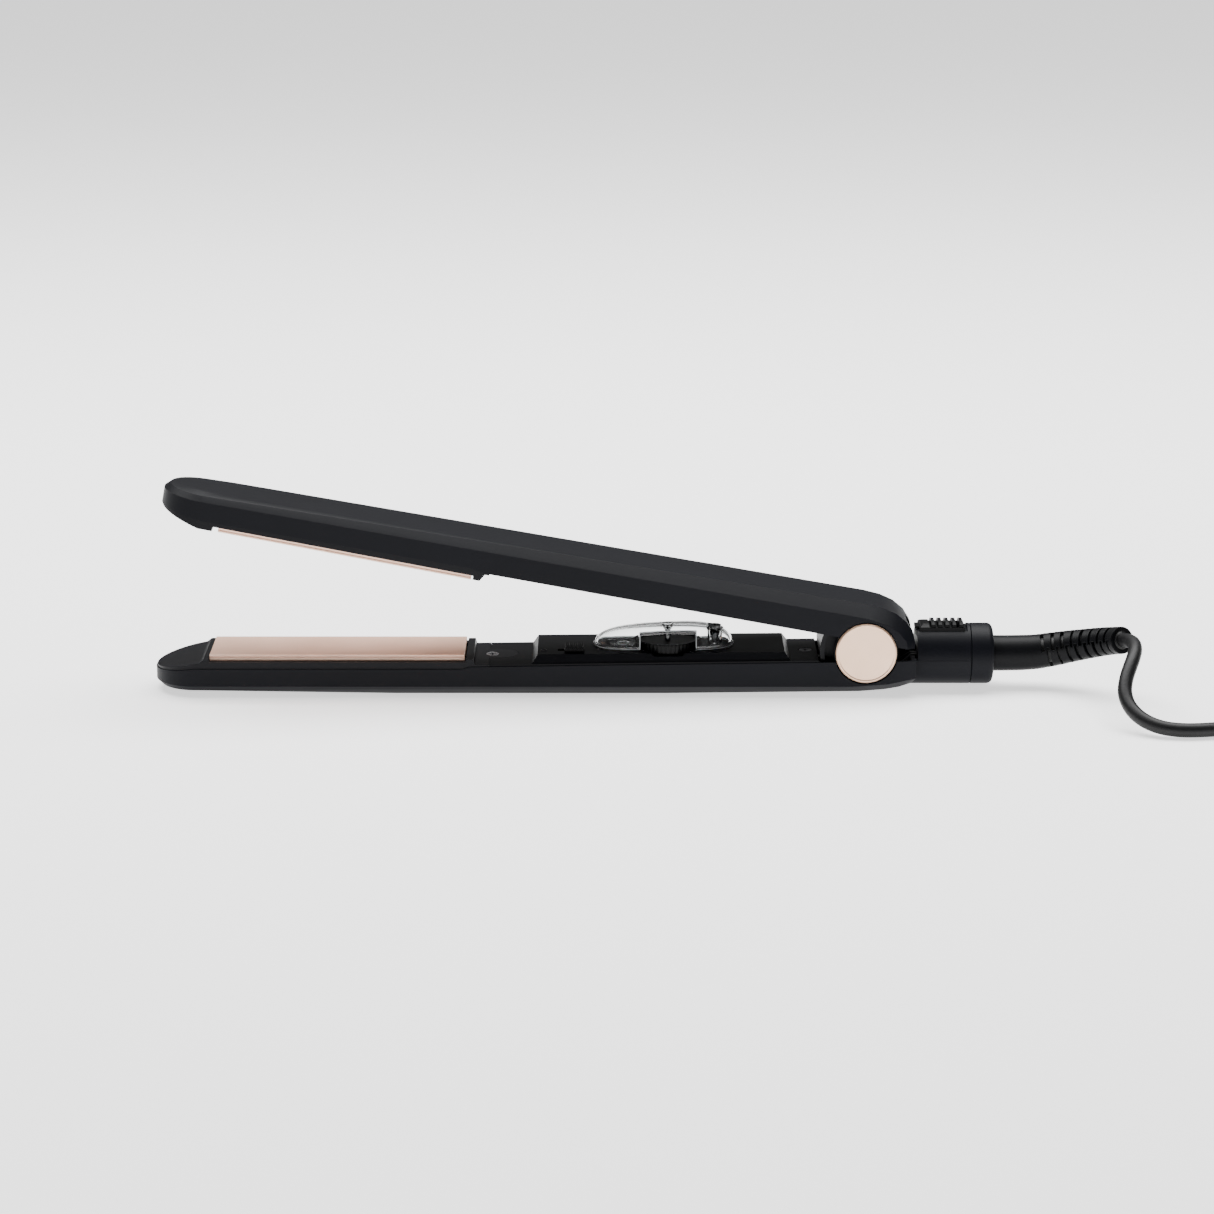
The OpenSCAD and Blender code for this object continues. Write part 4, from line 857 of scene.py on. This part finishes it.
def in_slot(far, turn):
    """True where a slot is cut: two series of opposite slots, half a pitch apart."""
    if far < SLOT_START or far > guard_end - 2.6:
        return False
    for series, centre in ((0.0, 0.08), (0.5, 0.33)):
        place = (far - SLOT_START) / SLOT_PITCH - series
        if place < 0:
            continue
        if (place % 1) * SLOT_PITCH < SLOT_LONG:
            for side in (centre, centre + 0.5):
                off = abs((turn - side + 0.5) % 1 - 0.5)
                if off < 0.14:
                    return True
    return False


rings = swept_rings(guard_line, lambda i: looked_up(GUARD_OUT, guard_far[i]), COLUMNS, (0, 0, 1))
points = [p for ring in rings for p in ring]
faces = []
for i in range(len(rings) - 1):
    for j in range(COLUMNS):
        if not in_slot((guard_far[i] + guard_far[i + 1]) / 2, (j + 0.5) / COLUMNS):
            k = (j + 1) % COLUMNS
            faces.append((i * COLUMNS + j, i * COLUMNS + k, (i + 1) * COLUMNS + k, (i + 1) * COLUMNS + j))
rubber = moulded(
    "guard_rubber", (0.0012, 0.0013, 0.0020), (0.0026, 0.0028, 0.0038), 0.46, 1.2, Specular_IOR_Level=0.12
)
cord_guard = mesh_piece("cord_guard_sleeve", points, faces, "cord", rubber)
thick = cord_guard.modifiers.new("wall", "SOLIDIFY")
thick.thickness = 2.1 * MM
thick.offset = -1
edge = cord_guard.modifiers.new("edge", "BEVEL")
edge.width = 0.16 * MM
edge.segments = 2
edge.limit_method = "ANGLE"
edge.angle_limit = math.radians(40)
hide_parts("cord_guard")
# the rubber goes on behind the slots, so they are grooves round a closed core
tube_piece(
    "lead_in_guard", guard_line, lambda i: looked_up(GUARD_OUT, guard_far[i]) - 1.6, 32, "cord", jacket,
)

# ---------- hank tie and plug ----------
# A woven tie holds the hank. The plug is a plain moulded 2-pin one with nickel-plated pins.
tie_weave = Recipe("tie_weave", Roughness=0.85)
where = tie_weave.place()
threads = tie_weave.node(
    "ShaderNodeTexWave", {"bands_direction": "Y"}, {"Vector": where, "Scale": 420.0, "Distortion": 0.6}
)
tie_weave.feed(
    "Base Color", tie_weave.ramp(threads, [(0.2, (0.010, 0.010, 0.011)), (0.8, (0.03, 0.03, 0.033))])
)
tie_weave.relief(threads, 0.0002, 0.7)
soften("hank_tie", 0.3, 2)
paint(["hank_tie"], tie_weave)
soften("plug_body", 1.4, 4, 15)
soften("plug_guard", 0.4, 2)
paint(["plug_body", "plug_guard"], rubber)
nickel = Recipe("nickel_plate", Metallic=1.0)
where = nickel.place()
nickel.feed(
    "Base Color",
    nickel.ramp(nickel.cloud(where, 80), [(0.3, (0.66, 0.65, 0.62)), (0.7, (0.76, 0.75, 0.72))])
)
nickel.feed("Roughness", 0.14 + 0.12 * nickel.cloud(where, 500))
soften("plug_pins", 0.2, 2)
paint(["plug_pins"], nickel)
[tuple((p + AXIS) * MM) for p in lead_line]
